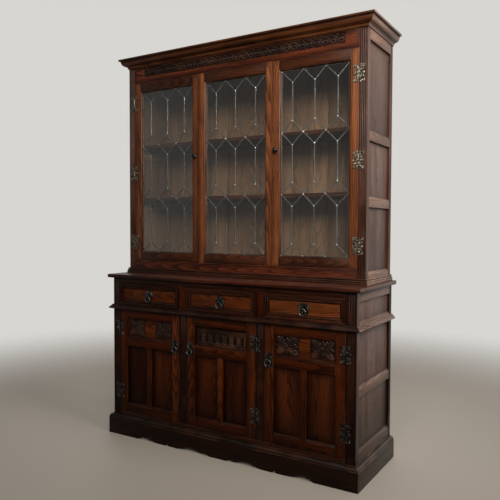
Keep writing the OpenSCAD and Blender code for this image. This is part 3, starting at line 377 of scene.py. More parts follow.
def makeMetal(name, look):
    look = {**metalWork, **look}
    material, tree = newMaterial(name)
    vector = newNode(tree, "TexCoord", (-1300, 0)).outputs["Object"]
    edge, hollow = attribute(tree, "edgeWear", (-1300, -350)), attribute(tree, "hollow", (-500, 350))
    wear = useGroup(tree, wearHighlightGroup, (-1000, -350), Edge=edge, Patches=look["wearPatches"],
                    Vector=vector)["Mask"]
    patina = noiseOn(tree, vector, look["patina"], 6, (-1000, 150), 0.6)
    flat = colourRamp(tree, patina, zip(look["patinaSteps"], (look["low"], look["high"])), (-700, 150))
    rubbed = tinted(tree, "MIX", wear, look["wear"], flat, look["edge"], (-200, 150))
    # patina in the hollows of the beaten sheets, and painted shade on the flat of a plate under its sheet
    sunk = blendColour(tree, "MULTIPLY", hollow, rubbed, look["hollowTint"] + (1,), (0, 150))
    smooth, rough = look["roughness"]
    roughness = remap(tree, patina, *look["roughSteps"], rough, smooth, (-200, -150))
    pits = bumpOf(tree, noiseOn(tree, vector, look["pits"], 3, (-1000, -100)), *look["pitRelief"], (-200, -450))
    beaten = newNode(tree, "TexVoronoi", (-1000, -650), {"Vector": vector, "Scale": look["hammerMarks"]},
                     feature="SMOOTH_F1").outputs["Distance"]
    surface(tree, {"Base Color": sunk, "Roughness": roughness, "Metallic": look["metallic"],
                   "Normal": bumpOf(tree, beaten, 1, look["hammer"], (100, -450), pits)})
    return material


# old glass: how it bends light, its smears and its waves, which come in repeats to a metre, and their strength
glassLook = {
    "colour": (0.94, 0.96, 0.95, 1), "clear": (0.93, 0.95, 0.94, 1), "bend": 1.62,
    "smearScale": 5, "smearSteps": (0.35, 0.75), "smears": (0.0, 0.02), "waveScale": 9, "waves": (0.05, 0.002),
}


def makeGlass():
    material, tree = newMaterial("leadedGlass")
    look = glassLook
    vector = newNode(tree, "TexCoord", (-700, 0)).outputs["Object"]
    smear = remap(tree, noiseOn(tree, vector, look["smearScale"], 5, (-450, 150)), *look["smearSteps"],
                  *look["smears"], (-150, 150))
    waves = bumpOf(tree, noiseOn(tree, vector, look["waveScale"], 2, (-450, -200)), *look["waves"],
                   (-150, -200))
    ray = newNode(tree, "LightPath", (800, 450)).outputs
    # light that falls on the boards goes straight through
    through = calc(tree, "MAXIMUM", ray["Is Shadow Ray"], ray["Is Diffuse Ray"], (950, 450))
    surface(tree, {"Base Color": look["colour"], "Roughness": smear, "Normal": waves, "IOR": look["bend"],
                   "Transmission Weight": 1}, look["clear"], through)
    return material


finishes = {name: makeOak(name, look) for name, look in oakLooks.items()}
finishes.update({name: makeMetal(name, look) for name, look in metalLooks.items()})
finishes["glass"] = makeGlass()
print("finishes made:", ", ".join(finishes))

# how light the boards of a node are, from 0 to 1: those with upright grain first, and then the others; the
# darker and the lightest sash tones are painted shade and painted light
boardTones = {
    "even": ((0.3, 0.7), (0.3, 0.7)), "mixed": ((0.1, 0.9), (0.1, 0.9)), "still": ((0.4, 0.6), (0.4, 0.6)),
    "shade": ((0.2, 0.4), (0.2, 0.4)), "dim": ((0.05, 0.3), (0.05, 0.3)), "low": ((0.25, 0.45), (0.4, 0.6)),
    "side": ((0.35, 0.65), (0.6, 0.85)), "door": ((0.4, 0.85), (0.2, 0.5)), "sash": ((0.55, 0.95), (0.0, 0.22)),
    "sashDim": ((0.3, 0.55), (0.0, 0.12)), "sashLit": ((0.9, 1.0), (0.0, 0.22)),
}
# how the boards of a node are dressed: finish, bevel in millimetres, the grain's axis if it isn't the longest
# one, and the tones
dressing = {
    "plinth": ("oakDark", 0.9, None, "dim"),
    "base_corner_posts": ("oakDark", 0.7, 2, "dim"),
    # the mullions are darkened, as painted shade
    "base_mullions": ("oakDark", 0.7, 2, "dim"),
    "base_face_rails": ("oakDark", 0.7, None, "even"),
    "base_side_frames": ("oakSide", 0.9, None, "low"),
    "base_side_panels": ("oakSide", 0.7, 2, "shade"),
    "base_back_panel": ("oakInside", 0.5, 0, "even"),
    "base_case_boards": ("oakInside", 0.7, None, "even"),
    "drawer_runners": ("pineInside", 0.7, None, "even"),
    "cupboard_shelves": ("oakInside", 0.9, 0, "even"),
    "waist_moulding": ("oakDark", 0.6, None, "sash"),
    "counter_top": ("oakFrieze", 0.6, 0, "shade"),
    "display_foot_moulding": ("oakMoulded", 0.6, None, "even"),
    "display_corner_posts": ("oakPost", 0.7, 2, "even"),
    "display_face_rails": ("oakFrieze", 0.7, 0, "still"),
    "display_side_frames": ("oakSide", 0.9, None, "side"),
    "display_side_panels": ("oakSide", 0.7, 2, "shade"),
    "display_back_boards": ("oakInside", 0.4, 2, "still"),
    "display_case_boards": ("oakInside", 0.7, 0, "even"),
    "display_shelves": ("oakDoor", 0.5, 0, "even"),
    "display_battens_and_stops": ("oakInside", 0.7, None, "even"),
    # the fixed light's frame is the lightest, as painted light
    "fixed_light_frame": ("oakWarm", 0.6, None, "sashLit"),
    "cornice": ("oakCornice", 0.5, None, "even"),
    "base_battens_and_stops": ("pineInside", 0.8, None, "even"),
}
# the left glazed door's frame is darker than the right one, as painted shade
for side, tones in (("left", "sashDim"), ("right", "sash")):
    dressing["glazed_door_%s_frame" % side] = ("oakWarm", 0.6, None, tones)
for side in ("left", "centre", "right"):
    dressing["cupboard_door_%s_frame" % side] = ("oakDoor", 0.9, None, "door")
    dressing["cupboard_door_%s_panels" % side] = ("oakPanel", 0.6, None, "mixed")
    # the left drawer is darker than the others, as painted shade
    dressing["drawer_%s_box" % side] = ("oakDrawer", 0.6, None, "shade" if side == "left" else "even")
# boards whose longest side lies along the given axis, up to the given length in metres, and that take another
# finish and tone: the mouldings at the sides take the pale grey side finish, which is painted sheen, the back
# stiles of the base and the stiles of the display's sides are darkened as painted shade, and the mullions
# between the drawers and the boards under the leaf carvings are as light as the doors
otherBoards = {
    "cornice": (1, 1.0, "oakSide", (0.9, 1.0)),
    "display_foot_moulding": (1, 1.0, "oakSide", (0.5, 0.7)),
    "waist_moulding": (1, 1.0, "oakSide", (0.4, 0.6)),
    "plinth": (1, 1.0, "oakSide", (0.05, 0.15)),
    "base_side_frames": (2, 1.0, "oakDark", (0.0, 0.1)),
    "base_mullions": (2, 0.3, "oakDoor", (0.3, 0.55)),
    "display_side_frames": (2, 2.0, "oakPost", (0.3, 0.5)),
    "cupboard_door_left_panels": (0, 1.0, "oakDoor", (0.55, 0.75)),
    "cupboard_door_right_panels": (0, 1.0, "oakDoor", (0.45, 0.6)),
}
# nodes whose outer (1) or inner (-1) side faces take another finish: the outer ones take the pale grey side
# finish, which is painted sheen, and the inner ones the inside wood
sideFaces = {
    "base_corner_posts": (1, "oakSide"), "display_corner_posts": (1, "oakSide"), "counter_top": (1, "oakSide"),
    "display_side_panels": (-1, "oakInside"), "display_side_frames": (-1, "oakInside"),
}
# a drawer's planted mouldings are dark, and the boards behind its front are plain wood
moreFinishes = {"drawer_%s_box" % side: ["oakDark", "pineInside"] for side in ("left", "centre", "right")}

# how the metalwork of a node is dressed: finish and bevel in millimetres
metalDressing = {"display_jamb_hinges": ("antiqueBrass", 0.35), "cupboard_jamb_hinges": ("darkBrass", 0.35)}
for side in ("left", "right"):
    metalDressing["glazed_door_%s_hinges" % side] = ("antiqueBrass", 0.35)
    metalDressing["glazed_door_%s_knob" % side] = ("darkBrass", 0.3)
    metalDressing["glazed_door_%s_leading" % side] = ("leadCame", 0.8)
metalDressing["fixed_light_leading"] = ("leadCame", 0.8)
for side in ("left", "centre", "right"):
    metalDressing["cupboard_door_%s_ironwork" % side] = ("darkBrass", 0.35)
    metalDressing["cupboard_ring_" + side] = ("rubbedRing", 0.25)
    metalDressing["drawer_%s_plate" % side] = ("darkBrass", 0.35)
    metalDressing["drawer_%s_ring" % side] = ("rubbedRing", 0.25)


# how a node's mesh is welded and its boards are bevelled, shaded and given their grain: metres and degrees
boardLook = {
    "weld": 0.00001, "flat": 0.6, "bevelFrom": 32, "bevelSegments": 2, "smoothTo": 24,
    # the heart of the log: how far it lies behind the face and to the side, how far it leans, and how long the
    # log is that the board is cut from
    "heart": (0.015, 0.06), "aside": 0.05, "lean": (0.02, 0.09), "cut": 40,
    # how squarely a side face has to look outwards
    "sideways": 0.9,
}
# the same for metalwork; the flat of a plate, darkened with painted shade, looks forwards and has more corners
# than this
metalEdges = {"bevelFrom": 40, "smoothTo": 30, "forwards": 0.95, "corners": 8}


def mergedMesh(node):
    # the frame's mesh is loose triangles, so a copy is welded and its flats joined up
    work = bmesh.new()
    work.from_mesh(nodes[node].data)
    flat = math.radians(boardLook["flat"])
    bmesh.ops.remove_doubles(work, verts=work.verts, dist=boardLook["weld"])
    bmesh.ops.dissolve_limit(work, angle_limit=flat, verts=work.verts, edges=work.edges)
    return work


def islands(work):
    # the separate boards or plates of a mesh
    work.verts.ensure_lookup_table()
    seen = set()
    groups = []
    for first in work.verts:
        if first.index in seen:
            continue
        seen.add(first.index)
        pile, group = [first], []
        while pile:
            vert = pile.pop()
            group.append(vert)
            for edge in vert.link_edges:
                other = edge.other_vert(vert)
                if other.index not in seen:
                    seen.add(other.index)
                    pile.append(other)
        groups.append(group)
    return groups


def splitOff(work, verts):
    # one island as a bmesh of its own
    piece = bmesh.new()
    made = {vert: piece.verts.new(vert.co) for vert in verts}
    faces = {face for vert in verts for face in vert.link_faces}
    for face in faces:
        piece.faces.new([made[vert] for vert in face.verts])
    piece.normal_update()
    return piece


def easeEdges(piece, width, limit=boardLook["bevelFrom"]):
    # small bevel on outward edges; the new faces are returned so that they can show wear
    sharp = [e for e in piece.edges if len(e.link_faces) == 2 and e.is_convex
             and e.calc_face_angle(0) > math.radians(limit)]
    if not sharp:
        return []
    made = bmesh.ops.bevel(piece, geom=sharp, offset=width * mm, offset_type="OFFSET",
                           segments=boardLook["bevelSegments"], profile=0.5, affect="EDGES",
                           clamp_overlap=True, material=-1)
    return made["faces"]


def shadeByAngle(piece, limit=boardLook["smoothTo"]):
    for face in piece.faces:
        face.smooth = True
    for edge in piece.edges:
        if len(edge.link_faces) == 2:
            edge.smooth = edge.calc_face_angle(0) < math.radians(limit)


def boardLayers(work):
    layers = work.verts.layers
    return {"co": layers.float_vector.new("boardCo"), "middle": layers.float_vector.new("boardMiddle"),
            "half": layers.float_vector.new("boardHalf"), "tone": layers.float.new("boardTone")}


def toBoard(vector, along):
    # turns a vector so that the grain runs along Z
    if along == 0:
        return Vector((vector.y, vector.z, vector.x))
    if along == 1:
        return Vector((vector.z, vector.x, vector.y))
    return Vector(vector)


def markBoard(piece, layers, along, dice, tones="even", own=None):
    low = Vector([min(v.co[i] for v in piece.verts) for i in range(3)])
    high = Vector([max(v.co[i] for v in piece.verts) for i in range(3)])
    centre, half = (low + high) / 2, (high - low) / 2
    if along is None:
        along = max(range(3), key=lambda i: half[i])
    thin = min(range(3), key=lambda i: half[i])
    flat = [i for i in range(3) if i != thin]
    # the heart of the log lies behind the face and leans, so that the rings make arches on it
    depth = 0 if toBoard(half, along).x < toBoard(half, along).y else 1
    shift = Vector((0, 0, dice.uniform(0, boardLook["cut"])))
    shift[depth] = dice.choice((-1, 1)) * dice.uniform(*boardLook["heart"])
    shift[1 - depth] = dice.uniform(-boardLook["aside"], boardLook["aside"])
    lean = dice.choice((-1, 1)) * dice.uniform(*boardLook["lean"])
    tone = dice.uniform(*(own or boardTones[tones][0 if along == 2 else 1]))
    for vert in piece.verts:
        offset = vert.co - centre
        place = toBoard(offset, along)
        place[depth] += lean * place.z
        vert[layers["co"]] = place + shift
        vert[layers["tone"]] = tone
        # the board's own plane: across it in X, along it in Z
        vert[layers["middle"]] = (offset[flat[0]], 0, offset[flat[1]])
        vert[layers["half"]] = (half[flat[0]], 0, half[flat[1]])


def joinPieces(pieces):
    # several bmeshes into one, with their layers
    whole = bmesh.new()
    for piece in pieces:
        mesh = bpy.data.meshes.new("part")
        piece.to_mesh(mesh)
        whole.from_mesh(mesh)
        bpy.data.meshes.remove(mesh)
        piece.free()
    return whole


def finishPiece(work, name, material, body, stands=None):
    mesh = bpy.data.meshes.new(name)
    work.to_mesh(mesh)
    work.free()
    for finish in (material if isinstance(material, list) else [material]):
        mesh.materials.append(finish)
    piece = bpy.data.objects.new(name, mesh)
    bpy.context.scene.collection.objects.link(piece)
    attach(piece, body)
    if stands:
        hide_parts(stands)
    return piece


def bodyOf(node):
    return nodes[node]["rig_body"]


def pieceName(node):
    words = node.split("_")
    # a piece never has the plain name of its node
    return words[0] + ("".join(word.capitalize() for word in words[1:]) or "Boards")


# on the narrow strips of a moulding, in millimetres wide, the quirks are darkened with painted shade and the
# crests are lightened as rubbed wear and painted highlight
reedLook = {"narrow": 5, "corners": 8, "quirkAngle": 25, "beside": 0.6, "crest": 0.15}


def markReeds(piece, wearHighlightLayer, paintedShadeLayer):
    look = reedLook
    quirks = {vert for edge in piece.edges if len(edge.link_faces) == 2 and not edge.is_convex
              and edge.calc_face_angle(0) > math.radians(look["quirkAngle"]) for vert in edge.verts}
    strips = [face for face in piece.faces if len(face.verts) <= look["corners"] and face.calc_area()
              <= look["narrow"] * mm * max(edge.calc_length() for edge in face.edges)]
    beside = {vert for face in strips if any(vert in quirks for vert in face.verts) for vert in face.verts}
    for face in strips:
        for loop in face.loops:
            loop[paintedShadeLayer] = 1.0 if loop.vert in quirks else look["beside"] if loop.vert in beside else 0.0
        if not any(vert in beside for vert in face.verts):
            face[wearHighlightLayer] = look["crest"]


def longestSide(piece):
    spans = [max(v.co[i] for v in piece.verts) - min(v.co[i] for v in piece.verts) for i in range(3)]
    return spans.index(max(spans)), max(spans)


# how far behind a drawer's face its inside boards start and its planted moulding ends, in millimetres
drawerDepths = {"inside": 8, "moulding": 3}


def finishNumber(piece):
    # which of a drawer's finishes a board takes: 0 front, 1 planted moulding, 2 plain inside
    front = layout["baseFace"] * mm
    depths = [vert.co.y for vert in piece.verts]
    if min(depths) > front + drawerDepths["inside"] * mm:
        return 2
    return 1 if max(depths) < front + drawerDepths["moulding"] * mm else 0


def dressWood(node, finish, width, along, tones):
    dice = random.Random(node)
    work = mergedMesh(node)
    more = moreFinishes.get(node, [])
    way, limit, otherFinish, otherTones = otherBoards.get(node, (None, 0.0, None, None))
    hand, faceFinish = sideFaces.get(node, (0, None))
    looks = [finishes[name] for name in [finish] + more + [otherFinish, faceFinish] if name]
    sideSlot = len(looks) - 1
    pieces = []
    for group in islands(work):
        piece = splitOff(work, group)
        wearHighlightLayer = piece.faces.layers.float.new("edgeWear")
        paintedShadeLayer = piece.loops.layers.float.new("hollow")
        layers = boardLayers(piece)
        axis, length = longestSide(piece)
        isOther = axis == way and length < limit
        markBoard(piece, layers, along, dice, tones, otherTones if isOther else None)
        eased = easeEdges(piece, width)
        markReeds(piece, wearHighlightLayer, paintedShadeLayer)
        for face in eased:
            face[wearHighlightLayer] = 1
        shadeByAngle(piece)
        number = finishNumber(piece) if more else int(isOther)
        for face in piece.faces:
            face.material_index = number
            outwards = hand * face.normal.x * math.copysign(1, face.calc_center_median().x)
            if outwards > boardLook["sideways"]:
                face.material_index = sideSlot
        pieces.append(piece)
    work.free()
    return finishPiece(joinPieces(pieces), pieceName(node), looks, bodyOf(node), node)


def dressMetal(node, finish, width):
    look = metalEdges
    plate = node.endswith(("hinges", "ironwork", "plate"))
    work = mergedMesh(node)
    pieces = []
    for group in islands(work):
        piece = splitOff(work, group)
        wearHighlightLayer = piece.faces.layers.float.new("edgeWear")
        paintedShadeLayer = piece.faces.layers.float.new("hollow")
        for face in easeEdges(piece, width, look["bevelFrom"]):
            face[wearHighlightLayer] = 1
        for face in piece.faces:
            # the flat of a plate is darkened with painted shade under its embossed sheet
            if plate and face.normal.y < -look["forwards"] and len(face.verts) > look["corners"]:
                face[paintedShadeLayer] = 1
        shadeByAngle(piece, look["smoothTo"])
        pieces.append(piece)
    work.free()
    return finishPiece(joinPieces(pieces), pieceName(node), finishes[finish], bodyOf(node), node)


for node, (finish, width, along, tones) in dressing.items():
    dressWood(node, finish, width, along, tones)
print("boards dressed:", len(dressing))
for node, (finish, width) in metalDressing.items():
    dressMetal(node, finish, width)
print("metalwork dressed:", len(metalDressing))
for node in nodes:
    if node.endswith("_glass"):
        nodes[node].data.materials.clear()
        nodes[node].data.materials.append(finishes["glass"])
print("glass set")

# spacing of the carved grid's points, how far its rim is let into the ground and the tool marks: millimetres
carving = {
    "step": 1.15, "seat": 0.25, "least": 0.05, "marks": 0.10, "marksScale": 190, "smoothTo": 62,
    # how fast the painted shade deepens in the hollows, and how the wear and painted highlight of a face fall
    # with them
    "hollow": 1.3, "wear": (1.1, 2.6),
}


def clamp(value, low=0.0, high=1.0):
    return max(low, min(high, value))


def ease(value):
    value = clamp(value)
    return value * value * (3 - 2 * value)


def carve(name, span, ground, height, deepest, body):
    # a grid laid on the ground, each point lifted by the height that the pattern gives there
    x0, x1, z0, z1 = span
    step, marks = carving["step"], carving["marksScale"]
    work = bmesh.new()
    across, up = round((x1 - x0) / step), round((z1 - z0) / step)
    bmesh.ops.create_grid(work, x_segments=across, y_segments=up, size=0.5)
    bmesh.ops.scale(work, vec=((x1 - x0) * mm, (z1 - z0) * mm, 1), verts=work.verts)
    bmesh.ops.rotate(work, cent=(0, 0, 0), matrix=Matrix.Rotation(math.radians(90), 3, "X"), verts=work.verts)
    bmesh.ops.translate(work, vec=((x0 + x1) / 2 * mm, ground * mm, (z0 + z1) / 2 * mm), verts=work.verts)
    hollow = work.verts.layers.float.new("hollow")
    for vert in work.verts:
        lift = height(vert.co.x / mm, vert.co.z / mm)
        lift += carving["marks"] * noise.noise(Vector((vert.co.x * marks, 3.1, vert.co.z * marks)))
        vert.co.y -= max(lift, carving["least"]) * mm
        # the deeper a point lies, the more painted shade it takes
        vert[hollow] = clamp(1 - lift / deepest) ** carving["hollow"]
    rim = [edge for edge in work.edges if edge.is_boundary]
    made = bmesh.ops.extrude_edge_only(work, edges=rim)["geom"]
    skirt = [item for item in made if isinstance(item, bmesh.types.BMVert)]
    for vert in skirt:
        vert.co.y = (ground + carving["seat"]) * mm
    back = [edge for edge in work.edges if edge.is_boundary]
    bmesh.ops.contextual_create(work, geom=back)
    bmesh.ops.recalc_face_normals(work, faces=work.faces)
    worn = work.faces.layers.float.new("edgeWear")
    # the raised faces are lighter, as wear and painted highlight
    most, fall = carving["wear"]
    for face in work.faces:
        face[worn] = clamp(most - fall * sum(v[hollow] for v in face.verts) / len(face.verts))
    markBoard(work, boardLayers(work), 0, random.Random(name))
    shadeByAngle(work, carving["smoothTo"])
    return finishPiece(work, name, finishes["oakCarved"], body)


# the band of interlaced strands along the frieze, in millimetres
guilloche = {
    "span": (-544.6, 544.6, 1803.3, 1847.7), "ground": -87, "repeats": 30, "bed": 0.5,
    "swing": 15.5, "strand": 3.7, "rise": 3.6, "quirk": (0.9, 1.0), "dipReach": 5.5, "dip": 0.5,
    "boss": 4.2, "bossRise": (3.2, 0.3), "petals": 6, "petalDepth": 0.13, "ring": 7.0, "ringRise": (2.3, 1.1),
    "fan": 10, "fanRise": (0.8, 1.6), "fanCuts": 2.6, "border": 2.2, "borderRise": 2.4,
}


def bump(distance, width):
    # a soft ridge, 1 at its middle
    return math.exp(-(distance / width) ** 2)


def dome(distance, radius, power=2, roundness=0.5):
    # 1 in the middle and 0 from the radius on
    return max(0, 1 - (abs(distance) / radius) ** power) ** roundness


def ribbon(distance):
    # a rounded strand with a quirk along its middle
    look = guilloche
    if abs(distance) > look["strand"]:
        return 0.0
    deep, wide = look["quirk"]
    return look["rise"] * dome(distance, look["strand"], 3.5, 0.6) - deep * bump(distance, wide)


def guillocheHeight(x, z):
    look = guilloche
    x0, x1, z0, z1 = look["span"]
    pitch = (x1 - x0) / look["repeats"]
    across = z - (z0 + z1) / 2
    along = (x - x0) / pitch
    crossing = round(along)
    best = look["bed"]
    for hand in (1, -1):
        line = hand * look["swing"] * math.sin(math.pi * along)
        slope = hand * look["swing"] * math.pi / pitch * math.cos(math.pi * along)
        strand = ribbon((across - line) / math.sqrt(1 + slope * slope))
        under = (crossing % 2 == 0) == (hand == 1)
        if under:
            strand *= 1 - look["dip"] * bump((along - crossing) * pitch, look["dipReach"])
        best = max(best, strand)
    eye = (math.floor(along) + 0.5 - along) * pitch
    far = math.hypot(eye, across)
    petals = look["boss"] * (1 + look["petalDepth"] * math.cos(look["petals"] * math.atan2(across, eye)))
    if far < petals:
        best = max(best, look["bossRise"][0] * dome(far, petals) + look["bossRise"][1])
    best = max(best, look["ringRise"][0] * bump(far - look["ring"], look["ringRise"][1]))
    # fans of three gouge cuts that fill the spandrels above and below each crossing
    cross = (crossing - along) * pitch
    edge = (z1 - z0) / 2 - abs(across)
    fan = math.hypot(cross, edge + 1)
    if fan < look["fan"]:
        low, high = look["fanRise"]
        cuts = abs(math.cos(look["fanCuts"] * math.atan2(cross, edge + 1)))
        best = max(best, (low + high * cuts) * ease((look["fan"] - fan) / 4))
    if min(edge, x - x0, x1 - x) < look["border"]:
        best = max(best, look["borderRise"])
    return best


carve("friezeCarving", guilloche["span"], guilloche["ground"], guillocheHeight, guilloche["rise"],
      "carcass")

# the two leafy squares of an outer cupboard door, in millimetres
leafSquare = {
    "half": {"left": (50, 40), "right": (56, 40)}, "middle": 545,
    "places": {"left": (-502, -334), "right": (336, 500)}, "ground": -192, "bed": 1.0, "rise": 6.0,
    # the leaves: where they start, size, lobes and ribs with how far these lean, and how the leaf swells
    "leafFrom": 6, "length": 60, "width": 19, "lobes": 15, "lobeDepth": 0.22, "lobeLean": 0.35,
    "ribs": 10.5, "ribRise": 0.9, "ribLean": 0.9, "vein": (1.5, 1.3), "swell": (0.62, 0.38),
    "budFrom": 9, "budWidth": 8.5, "budRise": 4.2, "budVein": (1.0, 1.0),
    "boss": 9.5, "bossRise": (5.4, 0.6), "beads": 8, "beadDepth": 0.10, "ring": 3.2, "ringRise": (3.6, 1.3),
    "border": 2.6, "borderRise": 3.0,
}


def fromAim(far, turn, aim):
    # how far a point is along and beside a line from the middle, and its angle from that line
    gap = (turn - aim + math.pi) % (2 * math.pi) - math.pi
    return far * math.cos(gap), far * math.sin(gap), abs(gap)


def leafHeight(u, v, half):
    look = leafSquare
    far, turn = math.hypot(u, v), math.atan2(v, u)
    best = look["bed"]
    # four broad lobed leaves towards the corners
    for corner in range(4):
        aim = math.atan2(half[1] * (1 if corner < 2 else -1), half[0] * (1 if corner in (0, 3) else -1))
        t, c, gap = fromAim(far, turn, aim)
        along = (t - look["leafFrom"]) / look["length"]
        if gap >= math.pi / 2 or not 0 < along < 1:
            continue
        lobes = 1 + look["lobeDepth"] * math.cos(2 * math.pi * (t - look["lobeLean"] * abs(c)) / look["lobes"])
        side = abs(c) / (look["width"] * math.sin(math.pi * along ** 0.8) ** 0.75 * lobes + 0.01)
        if side < 1:
            low, more = look["swell"]
            body = look["rise"] * (1 - side ** 2.4) ** 0.6 * (low + more * math.sin(math.pi * along))
            deep, wide = look["vein"]
            ribs = math.cos(2 * math.pi * (t - look["ribLean"] * abs(c)) / look["ribs"]) * min(1, abs(c) / 3)
            best = max(best, body - deep * bump(c, wide) + look["ribRise"] * ribs)
    # four buds between them
    for quarter in range(4):
        t, c, gap = fromAim(far, turn, quarter * math.pi / 2)
        along = (t - look["budFrom"]) / (half[quarter % 2] - 3 - look["budFrom"])
        if gap >= math.pi / 3 or not 0 < along < 1:
            continue
        side = abs(c) / (look["budWidth"] * math.sin(math.pi * along ** 1.3) ** 0.8 + 0.01)
        if side < 1:
            deep, wide = look["budVein"]
            best = max(best, look["budRise"] * (1 - side ** 2) ** 0.6 - deep * bump(c, wide))
    beads = look["boss"] * (1 + look["beadDepth"] * math.cos(look["beads"] * turn))
    if far < beads:
        best = max(best, look["bossRise"][0] * dome(far, beads) + look["bossRise"][1])
    best = max(best, look["ringRise"][0] * bump(far - look["boss"] - look["ring"], look["ringRise"][1]))
    edge = min(half[0] - abs(u), half[1] - abs(v))
    if edge < look["border"]:
        best = max(best, look["borderRise"] * ease(edge / 1.2 + 0.3))
    return best


# the ribs and flutes of the middle cupboard door, in millimetres; each line is a groove's place above the foot
# and its depth
nulling = {
    "span": (-134, 134, 503, 577), "ground": -192, "cells": 7, "rise": 4.8, "least": 0.3, "foot": 517,
    "spring": 546, "flute": 9.0, "fluteDepth": 4.3, "ribFall": 1.2, "groove": (2.0, 1.4), "top": 4,
    "dart": 4, "dartUp": 8, "dartDepth": 2.4,
    "lines": ((-6, 2.2), (42.5, 2.8), (48.5, 2.8), (55.5, 2.2)), "lineWidth": 1.5,
}


def nullingHeight(x, z):
    # rounded ribs with a groove down the middle, and a deep round-headed flute between each two
    look = nulling
    x0, x1 = look["span"][:2]
    pitch = (x1 - x0) / look["cells"]
    cell = abs((x - x0) % pitch - pitch / 2)
    away = math.hypot(cell, z - look["spring"]) if z > look["spring"] else cell
    rise = best = look["rise"]
    if z > look["foot"] and away < look["flute"]:
        best = rise - look["fluteDepth"] * dome(away, look["flute"], 2, 0.4)
    elif look["foot"] < z < look["spring"] + look["flute"] + look["top"]:
        rib = clamp((pitch / 2 - cell) / (pitch / 2 - look["flute"]))
        deep, wide = look["groove"]
        best = rise - look["ribFall"] * rib ** 2 - deep * bump(pitch / 2 - cell, wide)
    # a small gouge cut over each rib, and mouldings above and below
    dart = math.hypot((cell - pitch / 2) * 1.2, z - look["spring"] - look["dartUp"])
    if dart < look["dart"]:
        best = min(best, rise - look["dartDepth"] * dome(dart, look["dart"]))
    for line, deep in look["lines"]:
        best -= deep * bump(z - look["foot"] - line, look["lineWidth"])
    return max(best, look["least"])


for side, places in leafSquare["places"].items():
    half, high = leafSquare["half"][side], leafSquare["middle"]
    for number, middle in enumerate(places):
        carve("cupboardDoor%sLeaf%d" % (side.capitalize(), number + 1),
              (middle - half[0], middle + half[0], high - half[1], high + half[1]), leafSquare["ground"],
              lambda x, z: leafHeight(x - middle, z - high, half), leafSquare["rise"],
              "cupboard door " + side)
carve("cupboardDoorCentreNulling", nulling["span"], nulling["ground"], nullingHeight, nulling["rise"],
      "cupboard door centre")
print("carving made")

screwLook = {"radius": 2.7, "crown": 0.7, "rise": 1.2, "round": 0.35, "slot": 0.6, "cut": 0.5, "sides": 14}


def screwHead():
    # a low domed head with one slot, facing up
    head = bmesh.new()
    look = screwLook
    bmesh.ops.create_cone(head, cap_ends=True, segments=look["sides"], radius1=look["radius"] * mm,
                          radius2=look["radius"] * look["crown"] * mm, depth=look["rise"] * mm)
    crown = [e for e in head.edges if min(v.co.z for v in e.verts) > 0]
    bmesh.ops.bevel(head, geom=crown, offset=look["round"] * mm, offset_type="OFFSET", segments=2, profile=0.5,
                    affect="EDGES", clamp_overlap=True, material=-1)
    for side in (-1, 1):
        bmesh.ops.bisect_plane(head, geom=head.verts[:] + head.edges[:] + head.faces[:],
                               plane_co=(side * look["slot"] / 2 * mm, 0, 0), plane_no=(1, 0, 0))
    strip = [f for f in head.faces
             if f.normal.z > 0.4 and abs(f.calc_center_median().x) < look["slot"] / 2 * mm]
    made = bmesh.ops.extrude_face_region(head, geom=strip)["geom"]
    sunk = [item for item in made if isinstance(item, bmesh.types.BMVert)]
    bmesh.ops.translate(head, vec=(0, 0, -look["cut"] * mm), verts=sunk)
    bmesh.ops.delete(head, geom=[f for f in strip if f.is_valid], context="FACES_ONLY")
    bmesh.ops.recalc_face_normals(head, faces=head.faces)
    return head


# how a sheet is beaten, in millimetres: spacing of its points, its flat and its back, and how its rim is drawn
# onto the outline; then the raised rim, the rings around the screws (rise, place, width) and the small bosses
beating = {
    "step": 0.85, "flat": 2.05, "back": 0.1, "near": 0.02, "draws": 3, "draw": 0.9, "least": 0.05,
    "full": 0.4, "dark": 0.9, "rim": (0.5, 1.0, 0.6), "screwRing": (0.6, 4.5, 0.7), "boss": (0.85, 2.5),
    "leafBosses": (6.8, 12), "plateBosses": (9.5, 19), "between": 14, "turns": 3.2, "apart": 4.5,
}


